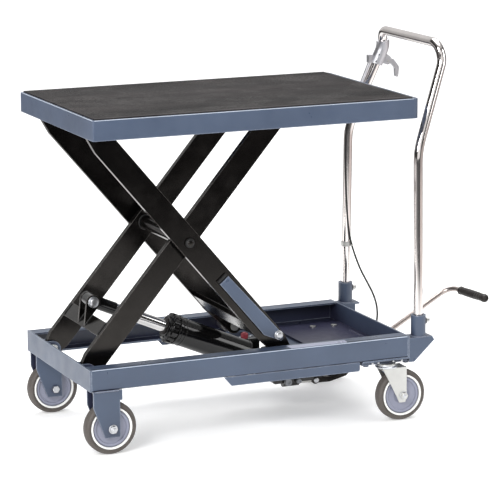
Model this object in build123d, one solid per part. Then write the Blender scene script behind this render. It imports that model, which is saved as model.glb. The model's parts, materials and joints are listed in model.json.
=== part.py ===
from build123d import *

import os
from math import atan2, cos, degrees, hypot, pi, radians, sin, tan

# Mobile scissor lift table, millimetres, +Z up, standing on z = 0, handle towards +X.
# Everything is laid out about the platform's centre (table x) and shifted once, on export,
# so that the origin is the centre of the whole object's footprint.
TABLE_SHIFT_X = -116.0

# Platform
PLATFORM_LENGTH = 815.0
PLATFORM_WIDTH = 500.0
PLATFORM_TOP = 787.0
MAT_THICKNESS = 3.0
SHEET = 2.5
SKIRT_DEPTH = 50.0
PAN_TOP = PLATFORM_TOP - MAT_THICKNESS
PAN_UNDERSIDE = PAN_TOP - SHEET
SKIRT_BOTTOM = PLATFORM_TOP - SKIRT_DEPTH

# Scissor: left pivots are fixed, right ends carry rollers
PIVOT_X = -387.0
BASE_PIVOT_Z = 180.1
TOP_PIVOT_Z = 758.2
ROLLER_X = 103.0
ARM_LENGTH = hypot(ROLLER_X - PIVOT_X, TOP_PIVOT_Z - BASE_PIVOT_Z)
ARM_ANGLE = degrees(atan2(TOP_PIVOT_Z - BASE_PIVOT_Z, ROLLER_X - PIVOT_X))
ARM_HALF_WIDTH = 28.0
INNER_ARM_Y = (115.0, 129.0)
OUTER_ARM_Y = (148.0, 162.0)
PIN_R = 8.0
CENTRE_BOLT_R = 9.0
ROLLER_SHOULDER_R = 11.0
STRUT_HEAD_R = 9.0
CROSS_TUBE_R = (17.0, 12.0)
RUNNING_GAP = 0.05

# Base frame
BASE_HALF_WIDTH = 220.0
RAIL_INNER_EDGE_Y = 181.0
RAIL_T = 4.5
RAIL_BOTTOM = 154.5
RAIL_TOP = 205.7
PANEL_T = 4.0
BASE_LEFT_X = -413.0
BASE_RIGHT_X = 402.0
LOWER_ROLLER_R = 20.8
UPPER_ROLLER_R = 20.0

# Wheels
WHEEL_R = 62.5
TYRE_INNER_R = 49.0
WHEEL_WIDTH = 30.0
FIXED_BOSS_HALF = 18.7
SWIVEL_BOSS_HALF = 16.7
FIXED_WHEEL_X = -359.3
FIXED_WHEEL_Y = 199.0
SWIVEL_WHEEL_X = 382.5
SWIVEL_AXIS_X = 346.5
SWIVEL_Y = 208.0
AXLE_R = 6.0
AXLE_ACROSS_FLATS = 16.0
FORK_T = 4.0

# Hydraulics: the barrel's axis runs down from the clevis pin
CLEVIS_ARM_S = 141.5
CLEVIS_ARM_N = 45.5
CLEVIS_EAR_R = 17.0
CLEVIS_PIN_HEAD_R = 10.5
ROD_R = 14.5
BARREL_R = 34.0
BARREL_INNER_R = 29.0
ROD_TILT = 23.334
TRUNNION_DISTANCE = 467.7

# Push handle
HANDLE_R = 11.0
HANDLE_KNEE = (435.0, 191.0, 648.0)
HANDLE_SHOULDER = (515.0, 157.0, 856.0)
HANDLE_CORNER = (507.0, 152.0, 897.0)
HANDLE_FOOT = (434.0, 202.0, 200.0)
SOCKET_R = 18.0
SOCKET_TOP = 252.0
SET_SCREW_Z = 236.0
TUBE_WALL = 1.5

# Foot pedal
PEDAL_X = 258.0
PEDAL_Z = 86.0
PEDAL_PIN_R = 6.0
CRANK_X = 252.0
PLUNGER_Z = 64.0
PLUNGER_R = 7.0

# Release cable, from the conduit's mouth down the far leg, through the clip and to the pump
CABLE_ROUTE = [
    (440.0, 181.0, 700.0), (424.0, 182.0, 650.0), (423.5, 184.5, 585.0), (425.0, 184.0, 520.0),
    (427.5, 183.0, 460.0), (432.0, 183.2, 400.0), (442.5, 185.5, 350.0), (459.0, 170.0, 290.0),
    (474.5, 157.0, 255.0), (486.0, 143.0, 224.0), (488.0, 127.0, 195.0), (478.0, 107.0, 165.0),
    (455.0, 88.0, 140.0), (420.0, 73.0, 124.0), (375.0, 62.0, 113.0), (325.0, 54.0, 106.0),
    (285.0, 50.0, 105.0),
]
CABLE_END = (267.0, 50.0, 105.0)
CABLE_R = 2.4
VALVE_PIVOT = (215.0, 120.0)


def block(x0, x1, y0, y1, z0, z1):
    centre = Pos((x0 + x1) / 2, (y0 + y1) / 2, (z0 + z1) / 2)
    return centre * Box(x1 - x0, y1 - y0, z1 - z0)


def rod_x(y, z, radius, x0, x1):
    return Pos((x0 + x1) / 2, y, z) * Rot(0, 90, 0) * Cylinder(radius, x1 - x0)


def rod_y(x, z, radius, y0, y1):
    return Pos(x, (y0 + y1) / 2, z) * Rot(90, 0, 0) * Cylinder(radius, y1 - y0)


def rod_z(x, y, radius, z0, z1):
    return Pos(x, y, (z0 + z1) / 2) * Cylinder(radius, z1 - z0)


def hex_z(x, y, across_flats, z0, z1):
    return Pos(x, y, z0) * extrude(RegularPolygon(across_flats / 2, 6, major_radius=False), z1 - z0)


def hex_y(x, z, across_flats, y0, y1):
    return plate_y(Pos(x, z) * RegularPolygon(across_flats / 2, 6, major_radius=False), y0, y1)


def plate_y(outline, y0, y1):
    """A flat plate whose outline is drawn in x and z and which fills y0 to y1."""
    return Pos(0, y1, 0) * extrude(Plane.XZ * outline, y1 - y0)


def outline(*points):
    return make_face(Polyline(*points, close=True))


def link(x0, z0, r0, x1, z1, r1):
    """The outline of a flat bar with a round end about each of two points."""
    first = (Pos(x0, z0) * Circle(r0)).edges()
    second = (Pos(x1, z1) * Circle(r1)).edges()
    return make_hull([*first, *second])


def both_sides(shape):
    return shape + mirror(shape, about=Plane.XZ)


def far_side(shape):
    return mirror(shape, about=Plane.XZ)


def sweep_circle(path, radius):
    section = Plane(origin=path @ 0, z_dir=path % 0) * Circle(radius)
    return sweep(section, path=path)


# ---------------------------------------------------------------- base frame


def base_rail_near():
    """A folded C channel, open towards the table's middle."""
    profile = make_face(Polyline(
        (-BASE_HALF_WIDTH, RAIL_BOTTOM), (-RAIL_INNER_EDGE_Y, RAIL_BOTTOM),
        (-RAIL_INNER_EDGE_Y, RAIL_BOTTOM + RAIL_T), (-BASE_HALF_WIDTH + RAIL_T, RAIL_BOTTOM + RAIL_T),
        (-BASE_HALF_WIDTH + RAIL_T, RAIL_TOP - RAIL_T), (-RAIL_INNER_EDGE_Y, RAIL_TOP - RAIL_T),
        (-RAIL_INNER_EDGE_Y, RAIL_TOP), (-BASE_HALF_WIDTH, RAIL_TOP), close=True,
    ))
    corners = profile.vertices().sort_by(Axis.X)[:2]
    profile = fillet(corners, RAIL_T)
    length = BASE_RIGHT_X - BASE_LEFT_X - 2 * PANEL_T
    return Pos(BASE_LEFT_X + PANEL_T, 0, 0) * extrude(Plane.YZ * profile, length)


def base_end_panel():
    """The left cross panel with the four welded lugs of the base hinge."""
    lug_r = 20.0
    lug_back = BASE_LEFT_X + PANEL_T
    panel = block(BASE_LEFT_X, lug_back, -BASE_HALF_WIDTH, BASE_HALF_WIDTH, RAIL_BOTTOM, RAIL_TOP)
    lug = Pos(PIVOT_X, BASE_PIVOT_Z) * Circle(lug_r)
    lug += outline(
        (lug_back, BASE_PIVOT_Z - lug_r), (PIVOT_X, BASE_PIVOT_Z - lug_r),
        (PIVOT_X, BASE_PIVOT_Z + lug_r), (lug_back, BASE_PIVOT_Z + lug_r),
    )
    lug -= Pos(PIVOT_X, BASE_PIVOT_Z) * Circle(PIN_R + RUNNING_GAP)
    for y0, y1 in ((107.0, 113.0), (131.0, 137.0)):
        panel += plate_y(lug, y0, y1) + plate_y(lug, -y1, -y0)
    return panel


def base_rear_panel():
    x0 = BASE_RIGHT_X - PANEL_T
    return block(x0, BASE_RIGHT_X, -BASE_HALF_WIDTH, BASE_HALF_WIDTH, RAIL_BOTTOM, RAIL_TOP)


TRAY_LEFT_X = 219.0
TRAY_TOP = 160.0
TRAY_T = 3.0
TRAY_BOLTS = ((311.0, 133.0), (366.0, 126.0))
TRAY_BOLT_HEAD_R = 7.5
SET_SCREW_HEAD_R = 7.0
M8_R = 4.0
M8_ACROSS_FLATS = 13.0
CLEARANCE = 0.1


def cargo_tray():
    """A flat floor between the rails, with a pressed rib near the rear panel."""
    edge = RAIL_INNER_EDGE_Y - 1.0
    floor = block(TRAY_LEFT_X, BASE_RIGHT_X - PANEL_T, -edge, edge, TRAY_TOP - TRAY_T, TRAY_TOP)
    rib_x, rib_r, rib_half = 381.0, 2.5, 66.0
    rib = rod_y(rib_x, TRAY_TOP, rib_r, -rib_half, rib_half)
    lip = block(TRAY_LEFT_X, TRAY_LEFT_X + TRAY_T, -edge, edge, TRAY_TOP - 5.0, TRAY_TOP)
    tray = floor + rib + lip
    for x, y in TRAY_BOLTS:
        tray -= both_sides(rod_z(x, y, M8_R + CLEARANCE, TRAY_TOP - 10.0, TRAY_TOP + 5.0))
    return tray


def pump_skirts():
    """The folded pan under the rails: two skirts and the cross plate that carries the pump."""
    t = 3.0
    skirt = outline(
        (-79.5, RAIL_BOTTOM), (-79.5, 152.0), (-62.0, 132.4),
        (267.0, 132.4), (270.0, 135.4), (270.0, RAIL_BOTTOM),
    )
    near = plate_y(skirt, -BASE_HALF_WIDTH, -BASE_HALF_WIDTH + t)
    cross = block(150.0, 268.0, -BASE_HALF_WIDTH + t, BASE_HALF_WIDTH - t, 150.0, RAIL_BOTTOM)
    return near + far_side(near) + cross


def frame_bolts():
    """Tray bolts, the set screws of the handle sockets and the release lever's pin."""
    nut_height = 6.0
    bolts = []
    for x, y in TRAY_BOLTS:
        for side in (-1, 1):
            shank = rod_z(x, side * y, M8_R, TRAY_TOP - TRAY_T - nut_height, TRAY_TOP)
            head = rod_z(x, side * y, TRAY_BOLT_HEAD_R, TRAY_TOP, TRAY_TOP + 3.0)
            nut = hex_z(x, side * y, M8_ACROSS_FLATS, TRAY_TOP - TRAY_T - nut_height, TRAY_TOP - TRAY_T)
            bolts.append(shank + head + nut)
    foot_x, foot_y, _ = HANDLE_FOOT
    socket_face = foot_x + SOCKET_R
    for side in (-1, 1):
        shank = rod_x(side * foot_y, SET_SCREW_Z, M8_R, foot_x + HANDLE_R + 1.0, socket_face + 6.0)
        head = rod_x(side * foot_y, SET_SCREW_Z, SET_SCREW_HEAD_R, socket_face + 1.0, socket_face + 8.0)
        bolts.append(shank + head)
    x, y, z = lever_pin_centre()
    bolts.append(rod_y(x, z, LEVER_PIN_R, y - 10.0, y + 10.0))
    return Compound(bolts)


GUSSET_Y = (214.0, 219.0)
BRACKET_X0 = BASE_RIGHT_X
BRACKET_X1 = 464.0
BRACKET_TOP = 200.0


def handle_brackets():
    """Gusset, folded socket bracket and round socket on each side of the rear panel."""
    gusset = outline(
        (BRACKET_X0, BRACKET_TOP), (BRACKET_X1, BRACKET_TOP),
        (469.0, 190.0), (415.6, 140.6), (BRACKET_X0, 140.6),
    )
    foot_x, foot_y, _ = HANDLE_FOOT
    side = plate_y(gusset, *GUSSET_Y)
    top = block(BRACKET_X0, BRACKET_X1, 180.0, GUSSET_Y[1], BRACKET_TOP - 4.0, BRACKET_TOP)
    inner = block(BRACKET_X0, BRACKET_X1 - 12.0, 180.0, 184.0, RAIL_BOTTOM, BRACKET_TOP)
    back = block(BRACKET_X0, BRACKET_X0 + 4.0, 180.0, GUSSET_Y[1], RAIL_BOTTOM, BRACKET_TOP)
    socket = rod_z(foot_x, foot_y, SOCKET_R, BRACKET_TOP, SOCKET_TOP)
    bracket = side + top + inner + back + socket
    lean = (HANDLE_KNEE[1] - foot_y) / (HANDLE_KNEE[2] - BRACKET_TOP) * (SOCKET_TOP - BRACKET_TOP)
    bore_r = HANDLE_R + abs(lean) / 2 + 0.15
    bracket -= rod_z(foot_x, foot_y + lean / 2, bore_r, BRACKET_TOP - 0.5, SOCKET_TOP + 1.0)
    bracket -= rod_x(foot_y, SET_SCREW_Z, M8_R + CLEARANCE, foot_x, foot_x + SOCKET_R + 2.0)
    return far_side(bracket) + bracket


def handle_path():
    right_side = [HANDLE_FOOT, HANDLE_KNEE, HANDLE_SHOULDER, HANDLE_CORNER]
    near_side = [(x, -y, z) for x, y, z in reversed(right_side)]
    return FilletPolyline(*right_side, *near_side, radius=[150.0, 50.0, 30.0, 30.0, 50.0, 150.0])


def handle_tube():
    """One bent tube: two legs that lean out at the knee, and a crossbar."""
    path = handle_path()
    start = Plane(origin=path @ 0, z_dir=path % 0)
    tube = sweep(start * Circle(HANDLE_R), path=path)
    return tube - sweep(start * Circle(HANDLE_R - TUBE_WALL), path=path)


# ---------------------------------------------------------------- release gear


def along_leg(z):
    """The point of the far leg's axis at height z, between the knee and the shoulder."""
    part = (z - HANDLE_KNEE[2]) / (HANDLE_SHOULDER[2] - HANDLE_KNEE[2])
    return tuple(a + part * (b - a) for a, b in zip(HANDLE_KNEE, HANDLE_SHOULDER))


HOUSING_BOTTOM_Z = 812.0
LEVER_PIN_Z = 826.0
LEVER_PIN_R = 2.45
LEVER_PIN_OFFSET = 25.0
LEVER_LEAN = degrees(atan2(HANDLE_SHOULDER[0] - HANDLE_KNEE[0], HANDLE_SHOULDER[2] - HANDLE_KNEE[2]))


def lever_pin_centre():
    x, y, z = along_leg(LEVER_PIN_Z)
    lean = radians(LEVER_LEAN)
    return x + LEVER_PIN_OFFSET * cos(lean), y, z - LEVER_PIN_OFFSET * sin(lean)


def release_housing():
    """A sleeve clamped round the far leg, two ears for the lever and the conduit's tube."""
    bottom = along_leg(HOUSING_BOTTOM_Z)
    rise = [b - a for a, b in zip(HANDLE_SHOULDER, HANDLE_CORNER)]
    top = tuple(a + 0.35 * d for a, d in zip(HANDLE_SHOULDER, rise))
    path = FilletPolyline(bottom, HANDLE_SHOULDER, top, radius=50.0)
    start = Plane(origin=path @ 0, z_dir=path % 0)
    sleeve = sweep(start * Circle(16.0), path=path) - sweep(start * Circle(HANDLE_R + 0.1), path=path)
    x, y, z = lever_pin_centre()
    ear = Pos(x, y, z) * Rot(0, LEVER_LEAN, 0) * plate_y(
        outline((-12.0, -9.0), (3.0, -9.0), (9.0, -3.0), (9.0, 6.0), (3.0, 12.0), (-12.0, 16.0)), 5.0, 8.0)
    ear -= rod_y(x, z, LEVER_PIN_R + RUNNING_GAP, y, y + 20.0)
    other = Pos(0, 2 * y, 0) * far_side(ear)
    sleeve += ear + other
    conduit_top = (bottom[0] - 18.5, bottom[1] - 2.0, bottom[2] + 4.0)
    mouth = CABLE_ROUTE[0]
    line = Line(conduit_top, (mouth[0], mouth[1], mouth[2] + 1.0))
    conduit = sweep_circle(line, 4.0)
    boss_x, boss_y, boss_z = bottom[0] - 24.0, bottom[1] - 8.0, bottom[2] + 3.0
    boss = block(boss_x, boss_x + 12.0, boss_y, boss_y + 12.0, boss_z, boss_z + 19.0)
    boss -= sweep_circle(Line(bottom, along_leg(HANDLE_SHOULDER[2])), HANDLE_R + 0.1)
    return sleeve + boss + conduit


def release_lever():
    """A hooked finger lever on its pin, curving down and away from the leg."""
    x, y, z = lever_pin_centre()
    root = link(0.0, 0.0, 6.0, 14.0, -2.0, 6.0)
    middle = link(14.0, -2.0, 6.0, 27.0, -18.0, 5.5)
    tip = link(27.0, -18.0, 5.5, 27.0, -38.0, 4.0)
    lever = plate_y(root + middle + tip, -4.5, 4.5)
    return Pos(x, y, z) * lever - rod_y(x, z, LEVER_PIN_R + RUNNING_GAP, y - 20.0, y + 20.0)


def cable_path():
    points = [Vector(*p) for p in [*CABLE_ROUTE, CABLE_END]]
    radii = []
    for before, here, after in zip(points, points[1:], points[2:]):
        half_turn = radians((here - before).get_angle(after - here)) / 2
        shorter = min((here - before).length, (after - here).length)
        radii.append(0.45 * shorter / tan(half_turn))
    return FilletPolyline(*points, radius=radii), radii


def release_cable():
    path, radii = cable_path()
    print("cable length", round(path.length), "radii", [round(r) for r in radii])
    return sweep_circle(path, CABLE_R)


def cable_clip():
    """A band round the far leg with a small eye that the cable passes through."""
    x, y, z = CABLE_ROUTE[6]
    part = (z - HANDLE_FOOT[2]) / (HANDLE_KNEE[2] - HANDLE_FOOT[2])
    leg_x = HANDLE_FOOT[0] + part * (HANDLE_KNEE[0] - HANDLE_FOOT[0])
    leg_y = HANDLE_FOOT[1] + part * (HANDLE_KNEE[1] - HANDLE_FOOT[1])
    band = rod_z(leg_x, leg_y, HANDLE_R + 2.2, z - 4.0, z + 8.0)
    eye = rod_z(x, y, CABLE_R + 3.5, z - 1.5, z + 1.5)
    clip = band + eye
    clip -= rod_z(leg_x, leg_y, HANDLE_R + 0.4, z - 10.0, z + 20.0)
    return clip - rod_z(x, y, CABLE_R + 2.1, z - 5.0, z + 5.0)


# ---------------------------------------------------------------- hinge pins and rollers


def headed_pin(x, z, y0, y1, head):
    """A pin across y0 to y1 with a flat round head, head thick, at both ends."""
    shank = rod_y(x, z, PIN_R, y0, y1)
    return shank + rod_y(x, z, PIN_R + 3.0, y0, y0 + head) + rod_y(x, z, PIN_R + 3.0, y1 - head, y1)


def base_hinge_pins():
    return both_sides(headed_pin(PIVOT_X, BASE_PIVOT_Z, 103.0, 141.0, 4.0))


def platform_hinge_pins():
    return both_sides(headed_pin(PIVOT_X, TOP_PIVOT_Z, 134.0, 176.0, 4.0))


def lower_roller_pins():
    pin = rod_y(ROLLER_X, BASE_PIVOT_Z, PIN_R, OUTER_ARM_Y[0] - 2.0, 214.5)
    pin += rod_y(ROLLER_X, BASE_PIVOT_Z, ROLLER_SHOULDER_R, OUTER_ARM_Y[0] - 4.0, OUTER_ARM_Y[0])
    pin += rod_y(ROLLER_X, BASE_PIVOT_Z, 12.0, OUTER_ARM_Y[1], 185.5)
    pin += rod_y(ROLLER_X, BASE_PIVOT_Z, ROLLER_SHOULDER_R, 212.3, 214.5)
    return both_sides(pin)


def upper_roller_pins():
    pin = rod_y(ROLLER_X, TOP_PIVOT_Z, PIN_R, 92.0, INNER_ARM_Y[1] + 2.0)
    pin += rod_y(ROLLER_X, TOP_PIVOT_Z, ROLLER_SHOULDER_R, INNER_ARM_Y[1], INNER_ARM_Y[1] + 4.0)
    pin += rod_y(ROLLER_X, TOP_PIVOT_Z, ROLLER_SHOULDER_R, 111.4, INNER_ARM_Y[0])
    pin += rod_y(ROLLER_X, TOP_PIVOT_Z, 10.5, 92.0, 93.7)
    return both_sides(pin)


def lower_rollers():
    roller = rod_y(ROLLER_X, BASE_PIVOT_Z, LOWER_ROLLER_R, 186.0, 212.0)
    roller -= rod_y(ROLLER_X, BASE_PIVOT_Z, PIN_R + RUNNING_GAP, 180.0, 220.0)
    return both_sides(roller)


def upper_rollers():
    roller = rod_y(ROLLER_X, TOP_PIVOT_Z, UPPER_ROLLER_R, 94.0, 111.0)
    roller -= rod_y(ROLLER_X, TOP_PIVOT_Z, PIN_R + RUNNING_GAP, 90.0, 120.0)
    return both_sides(roller)


# ---------------------------------------------------------------- scissor arms


def on_inner_arm(shape):
    """Places a shape drawn along an inner arm: x from the base hinge, z above the midline."""
    return Pos(PIVOT_X, 0, BASE_PIVOT_Z) * Rot(0, -ARM_ANGLE, 0) * shape


def on_outer_arm(shape):
    """Places a shape drawn along an outer arm: x from the platform hinge, z above the midline."""
    return Pos(PIVOT_X, 0, TOP_PIVOT_Z) * Rot(0, ARM_ANGLE, 0) * shape


def arm(left_r, left_taper, right_r, upper_taper, lower_taper, y_range):
    """A flat bar that narrows to an eye at both ends, with three bores."""
    w = ARM_HALF_WIDTH
    bar = outline(
        (0, left_r), (left_taper, w), (ARM_LENGTH - upper_taper, w), (ARM_LENGTH, right_r),
        (ARM_LENGTH, -right_r), (ARM_LENGTH - lower_taper, -w), (left_taper, -w), (0, -left_r),
    )
    bar += Circle(left_r) + Pos(ARM_LENGTH, 0) * Circle(right_r)
    bar -= Circle(PIN_R + RUNNING_GAP)
    bar -= Pos(ARM_LENGTH, 0) * Circle(PIN_R + RUNNING_GAP)
    bar -= Pos(ARM_LENGTH / 2, 0) * Circle(CENTRE_BOLT_R + RUNNING_GAP)
    return plate_y(bar, *y_range)


def inner_arm_far():
    return on_inner_arm(arm(20.0, 30.0, 20.0, 70.0, 30.0, INNER_ARM_Y))


STRUT_BOLT_FROM_ROLLER = 52.0
STRUT_BOLT_N = 14.8
STRUT_BOLT_R = 5.0


def outer_arm_far():
    return on_outer_arm(arm(17.0, 60.0, 19.0, 40.0, 90.0, OUTER_ARM_Y))


def outer_arm_near(far_arm):
    """The near outer arm also carries the safety strut's bolt."""
    s, n = ARM_LENGTH - STRUT_BOLT_FROM_ROLLER, STRUT_BOLT_N
    hole = rod_y(s, n, STRUT_BOLT_R + RUNNING_GAP, -170.0, -140.0)
    return far_side(far_arm) - on_outer_arm(hole)


CROSS_PLATE_S = (81.0, 117.5)
CROSS_PLATE_N = (20.0, 28.0)


def inner_cross_members():
    """The flat plate that carries the clevis, and the tube at the arms' middle."""
    reach = INNER_ARM_Y[0]
    plate = block(*CROSS_PLATE_S, -reach, reach, *CROSS_PLATE_N)
    outer_r, inner_r = CROSS_TUBE_R
    centre = ARM_LENGTH / 2
    tube = rod_y(centre, 0, outer_r, -reach, reach) - rod_y(centre, 0, inner_r, -reach, reach)
    return on_inner_arm(Compound([plate, tube]))


def outer_cross_bar():
    right = ARM_LENGTH - 88.0
    return on_outer_arm(block(right - 50.0, right, -OUTER_ARM_Y[0], OUTER_ARM_Y[0], -27.0, -15.0))


def centre_bolts():
    """The two bolts at the arms' middle, with the collars that space the arms."""
    centre = ARM_LENGTH / 2
    inner_end = 100.0
    bolt = rod_y(centre, 0, CENTRE_BOLT_R, inner_end, OUTER_ARM_Y[1])
    bolt += rod_y(centre, 0, 15.0, INNER_ARM_Y[1] + 0.5, OUTER_ARM_Y[0])
    bolt += rod_y(centre, 0, 11.0, inner_end, 112.0)
    head = rod_y(centre, 0, 11.0, OUTER_ARM_Y[1], OUTER_ARM_Y[1] + 8.0)
    bolt += fillet(head.edges().filter_by(GeomType.CIRCLE).sort_by(Axis.Y)[-1], 4.0)
    return on_outer_arm(both_sides(bolt))


def strut_bolt():
    s, n = ARM_LENGTH - STRUT_BOLT_FROM_ROLLER, STRUT_BOLT_N
    bolt = rod_y(s, n, STRUT_BOLT_R, -172.0, -144.0)
    bolt += rod_y(s, n, STRUT_HEAD_R, -176.0, -170.5)
    return on_outer_arm(bolt + hex_y(s, n, 17.0, -148.0, -141.0))


def safety_strut():
    """A flat prop that lies along the near outer arm and swings on the bolt at its low end."""
    s, n = ARM_LENGTH - STRUT_BOLT_FROM_ROLLER, STRUT_BOLT_N
    low, high = n - 26.0, n + 9.0
    far_end, near_end = s - 200.0, s - 4.0
    bar = outline(
        (far_end, low), (near_end - 22.0, low), (s + 16.0, n - 4.0), (s + 14.0, n + 4.0),
        (s, high), (far_end, high),
    )
    bar -= Pos(s, n) * Circle(STRUT_BOLT_R + RUNNING_GAP)
    return on_outer_arm(plate_y(bar, -170.0, -164.0))


# ---------------------------------------------------------------- cylinder


def clevis_centre():
    lean = radians(ARM_ANGLE)
    x = PIVOT_X + CLEVIS_ARM_S * cos(lean) - CLEVIS_ARM_N * sin(lean)
    z = BASE_PIVOT_Z + CLEVIS_ARM_S * sin(lean) + CLEVIS_ARM_N * cos(lean)
    return x, z


def on_cylinder(shape):
    """Places a shape drawn along the cylinder: x from the clevis pin towards the trunnion."""
    x, z = clevis_centre()
    return Pos(x, 0, z) * Rot(0, ROD_TILT, 0) * shape


def clevis_bracket():
    """Two ears welded to the inner cross plate."""
    s, n = CLEVIS_ARM_S, CLEVIS_ARM_N
    plate_top = CROSS_PLATE_N[1]
    foot = Line((CROSS_PLATE_S[0] + 4.0, plate_top), (CROSS_PLATE_S[1], plate_top))
    ear = make_hull([*(Pos(s, n) * Circle(CLEVIS_EAR_R)).edges(), foot])
    ear -= Pos(s, n) * Circle(PIN_R + RUNNING_GAP)
    ear = plate_y(ear, 18.0, 24.0)
    return on_inner_arm(both_sides(ear))


def clevis_pin():
    s, n = CLEVIS_ARM_S, CLEVIS_ARM_N
    pin = rod_y(s, n, PIN_R, -26.0, 27.0) + rod_y(s, n, CLEVIS_PIN_HEAD_R, -31.0, -24.5)
    return on_inner_arm(pin + rod_y(s, n, CLEVIS_PIN_HEAD_R, 24.5, 27.0))


ROD_END_LENGTH = 66.0
GLAND_START = 206.0
GLAND_LENGTH = 35.0
GLAND_R = 37.0
BARREL_END = 434.0
PISTON = (273.0, 290.0)


def rod_end():
    eye = rod_y(0, 0, 16.0, -15.0, 15.0) + rod_x(0, 0, ROD_R + 1.0, 6.0, ROD_END_LENGTH)
    return on_cylinder(eye - rod_y(0, 0, PIN_R + RUNNING_GAP, -20.0, 20.0))


def cylinder_rod():
    """The plated rod with its piston, which stays inside the barrel."""
    rod = rod_x(0, 0, ROD_R, ROD_END_LENGTH, PISTON[1] + 5.0)
    return on_cylinder(rod + rod_x(0, 0, BARREL_INNER_R - RUNNING_GAP, *PISTON))


def gland_nut():
    end = GLAND_START + GLAND_LENGTH
    gland = rod_x(0, 0, GLAND_R, GLAND_START, end)
    gland = chamfer(gland.edges().filter_by(GeomType.CIRCLE), 3.0)
    for start in (9.0, 24.0):
        groove = rod_x(0, 0, GLAND_R + 2.0, GLAND_START + start, GLAND_START + start + 2.5)
        gland -= groove - rod_x(0, 0, GLAND_R - 2.0, GLAND_START, end)
    return on_cylinder(gland - rod_x(0, 0, ROD_R + RUNNING_GAP, GLAND_START - 10.0, end + 10.0))


def cylinder_barrel():
    """The barrel, closed at its foot, with the trunnion lug and its pin."""
    start = GLAND_START + GLAND_LENGTH
    barrel = rod_x(0, 0, BARREL_R, start, BARREL_END)
    barrel -= rod_x(0, 0, BARREL_INNER_R, start - 1.0, BARREL_END - 14.0)
    lug = link(BARREL_END - 6.0, 0, 13.0, TRUNNION_DISTANCE, 0, 12.0)
    barrel += plate_y(lug, -12.0, 12.0)
    return on_cylinder(barrel + rod_y(TRUNNION_DISTANCE, 0, 6.0, -17.0, 17.0))


# ---------------------------------------------------------------- platform


def platform_pan():
    """A folded steel pan with rounded upright corners, open below."""
    half_l, half_w = PLATFORM_LENGTH / 2, PLATFORM_WIDTH / 2
    outer = Rectangle(PLATFORM_LENGTH, PLATFORM_WIDTH)
    outer = fillet(outer.vertices().sort_by(Axis.X)[:2], 3.0)
    outer = fillet(outer.vertices().filter_by(lambda v: v.X > half_l - 1.0), 14.0)
    inner = Rectangle(2 * (half_l - SHEET), 2 * (half_w - SHEET))
    inner = fillet(inner.vertices().filter_by(lambda v: v.X > 0), 14.0 - SHEET)
    pan = Pos(0, 0, SKIRT_BOTTOM) * extrude(outer, PAN_TOP - SKIRT_BOTTOM)
    pan -= Pos(0, 0, SKIRT_BOTTOM) * extrude(inner, PAN_UNDERSIDE - SKIRT_BOTTOM)
    top_rim = pan.faces().sort_by(Axis.Z)[-1].edges()
    return fillet(top_rim, 2.0)


def rubber_mat():
    left, right, side = 6.0, 16.0, 6.0
    x0, x1 = -PLATFORM_LENGTH / 2 + left, PLATFORM_LENGTH / 2 - right
    half = PLATFORM_WIDTH / 2 - side
    return block(x0, x1, -half, half, PAN_TOP, PLATFORM_TOP)


def platform_hinge_brackets():
    r = 17.0
    plate = Pos(PIVOT_X, TOP_PIVOT_Z) * Circle(r)
    plate += outline(
        (PIVOT_X - r, TOP_PIVOT_Z), (PIVOT_X + r, TOP_PIVOT_Z), (PIVOT_X + r + 8.0, PAN_UNDERSIDE),
        (PIVOT_X - r, PAN_UNDERSIDE),
    )
    plate -= Pos(PIVOT_X, TOP_PIVOT_Z) * Circle(PIN_R + RUNNING_GAP)
    return both_sides(plate_y(plate, 138.0, 144.0) + plate_y(plate, 166.0, 172.0))


GUIDE_LEFT_X = -60.0
GUIDE_RIGHT_X = 395.0
GUIDE_T = 3.0


def roller_guides():
    """A channel under the sheet on each side, in which the upper rollers run."""
    web_y, edge_y, lip_start = 88.0, 112.0, 60.0
    lip_top = TOP_PIVOT_Z - UPPER_ROLLER_R - 0.3
    guide = block(GUIDE_LEFT_X, GUIDE_RIGHT_X, web_y, edge_y, PAN_UNDERSIDE - GUIDE_T, PAN_UNDERSIDE)
    guide += block(GUIDE_LEFT_X, GUIDE_RIGHT_X, web_y, web_y + GUIDE_T, 742.0, PAN_UNDERSIDE)
    guide += block(lip_start, GUIDE_RIGHT_X, web_y, web_y + GUIDE_T, lip_top - GUIDE_T, PAN_UNDERSIDE)
    guide += block(lip_start, GUIDE_RIGHT_X, web_y, edge_y, lip_top - GUIDE_T, lip_top)
    return both_sides(guide)


# ---------------------------------------------------------------- running gear


def fixed_forks():
    """Two cheeks and a top plate hold each fixed wheel under the rail."""
    left, right, foot = BASE_LEFT_X + 7.0, -341.5, 43.0
    cheek = outline((left, RAIL_BOTTOM), (left, 116.0), (-378.5, foot), (right, foot), (right, RAIL_BOTTOM))
    tab = outline((right, 130.0), (right + 6.0, 130.0), (right + 6.0, RAIL_BOTTOM), (right, RAIL_BOTTOM))
    cheek -= Pos(FIXED_WHEEL_X, WHEEL_R) * Circle(AXLE_R + RUNNING_GAP)
    fork = plate_y(cheek + tab, 218.0, 218.0 + FORK_T) + plate_y(cheek, 180.0 - FORK_T, 180.0)
    fork += block(left, right, 178.0, 220.0, RAIL_BOTTOM - FORK_T, RAIL_BOTTOM)
    return both_sides(fork)


def fixed_axles():
    axle = rod_y(FIXED_WHEEL_X, WHEEL_R, AXLE_R, 170.0, 228.0)
    axle += hex_y(FIXED_WHEEL_X, WHEEL_R, AXLE_ACROSS_FLATS, 222.0, 229.0)
    axle += hex_y(FIXED_WHEEL_X, WHEEL_R, AXLE_ACROSS_FLATS, 169.0, 176.0)
    return both_sides(axle)


CASTER_PLATE_BOLTS = ((-53.0, -38.0), (-53.0, -4.0), (53.0, -38.0), (53.0, -4.0))
KINGPIN_R = 6.0


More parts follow.
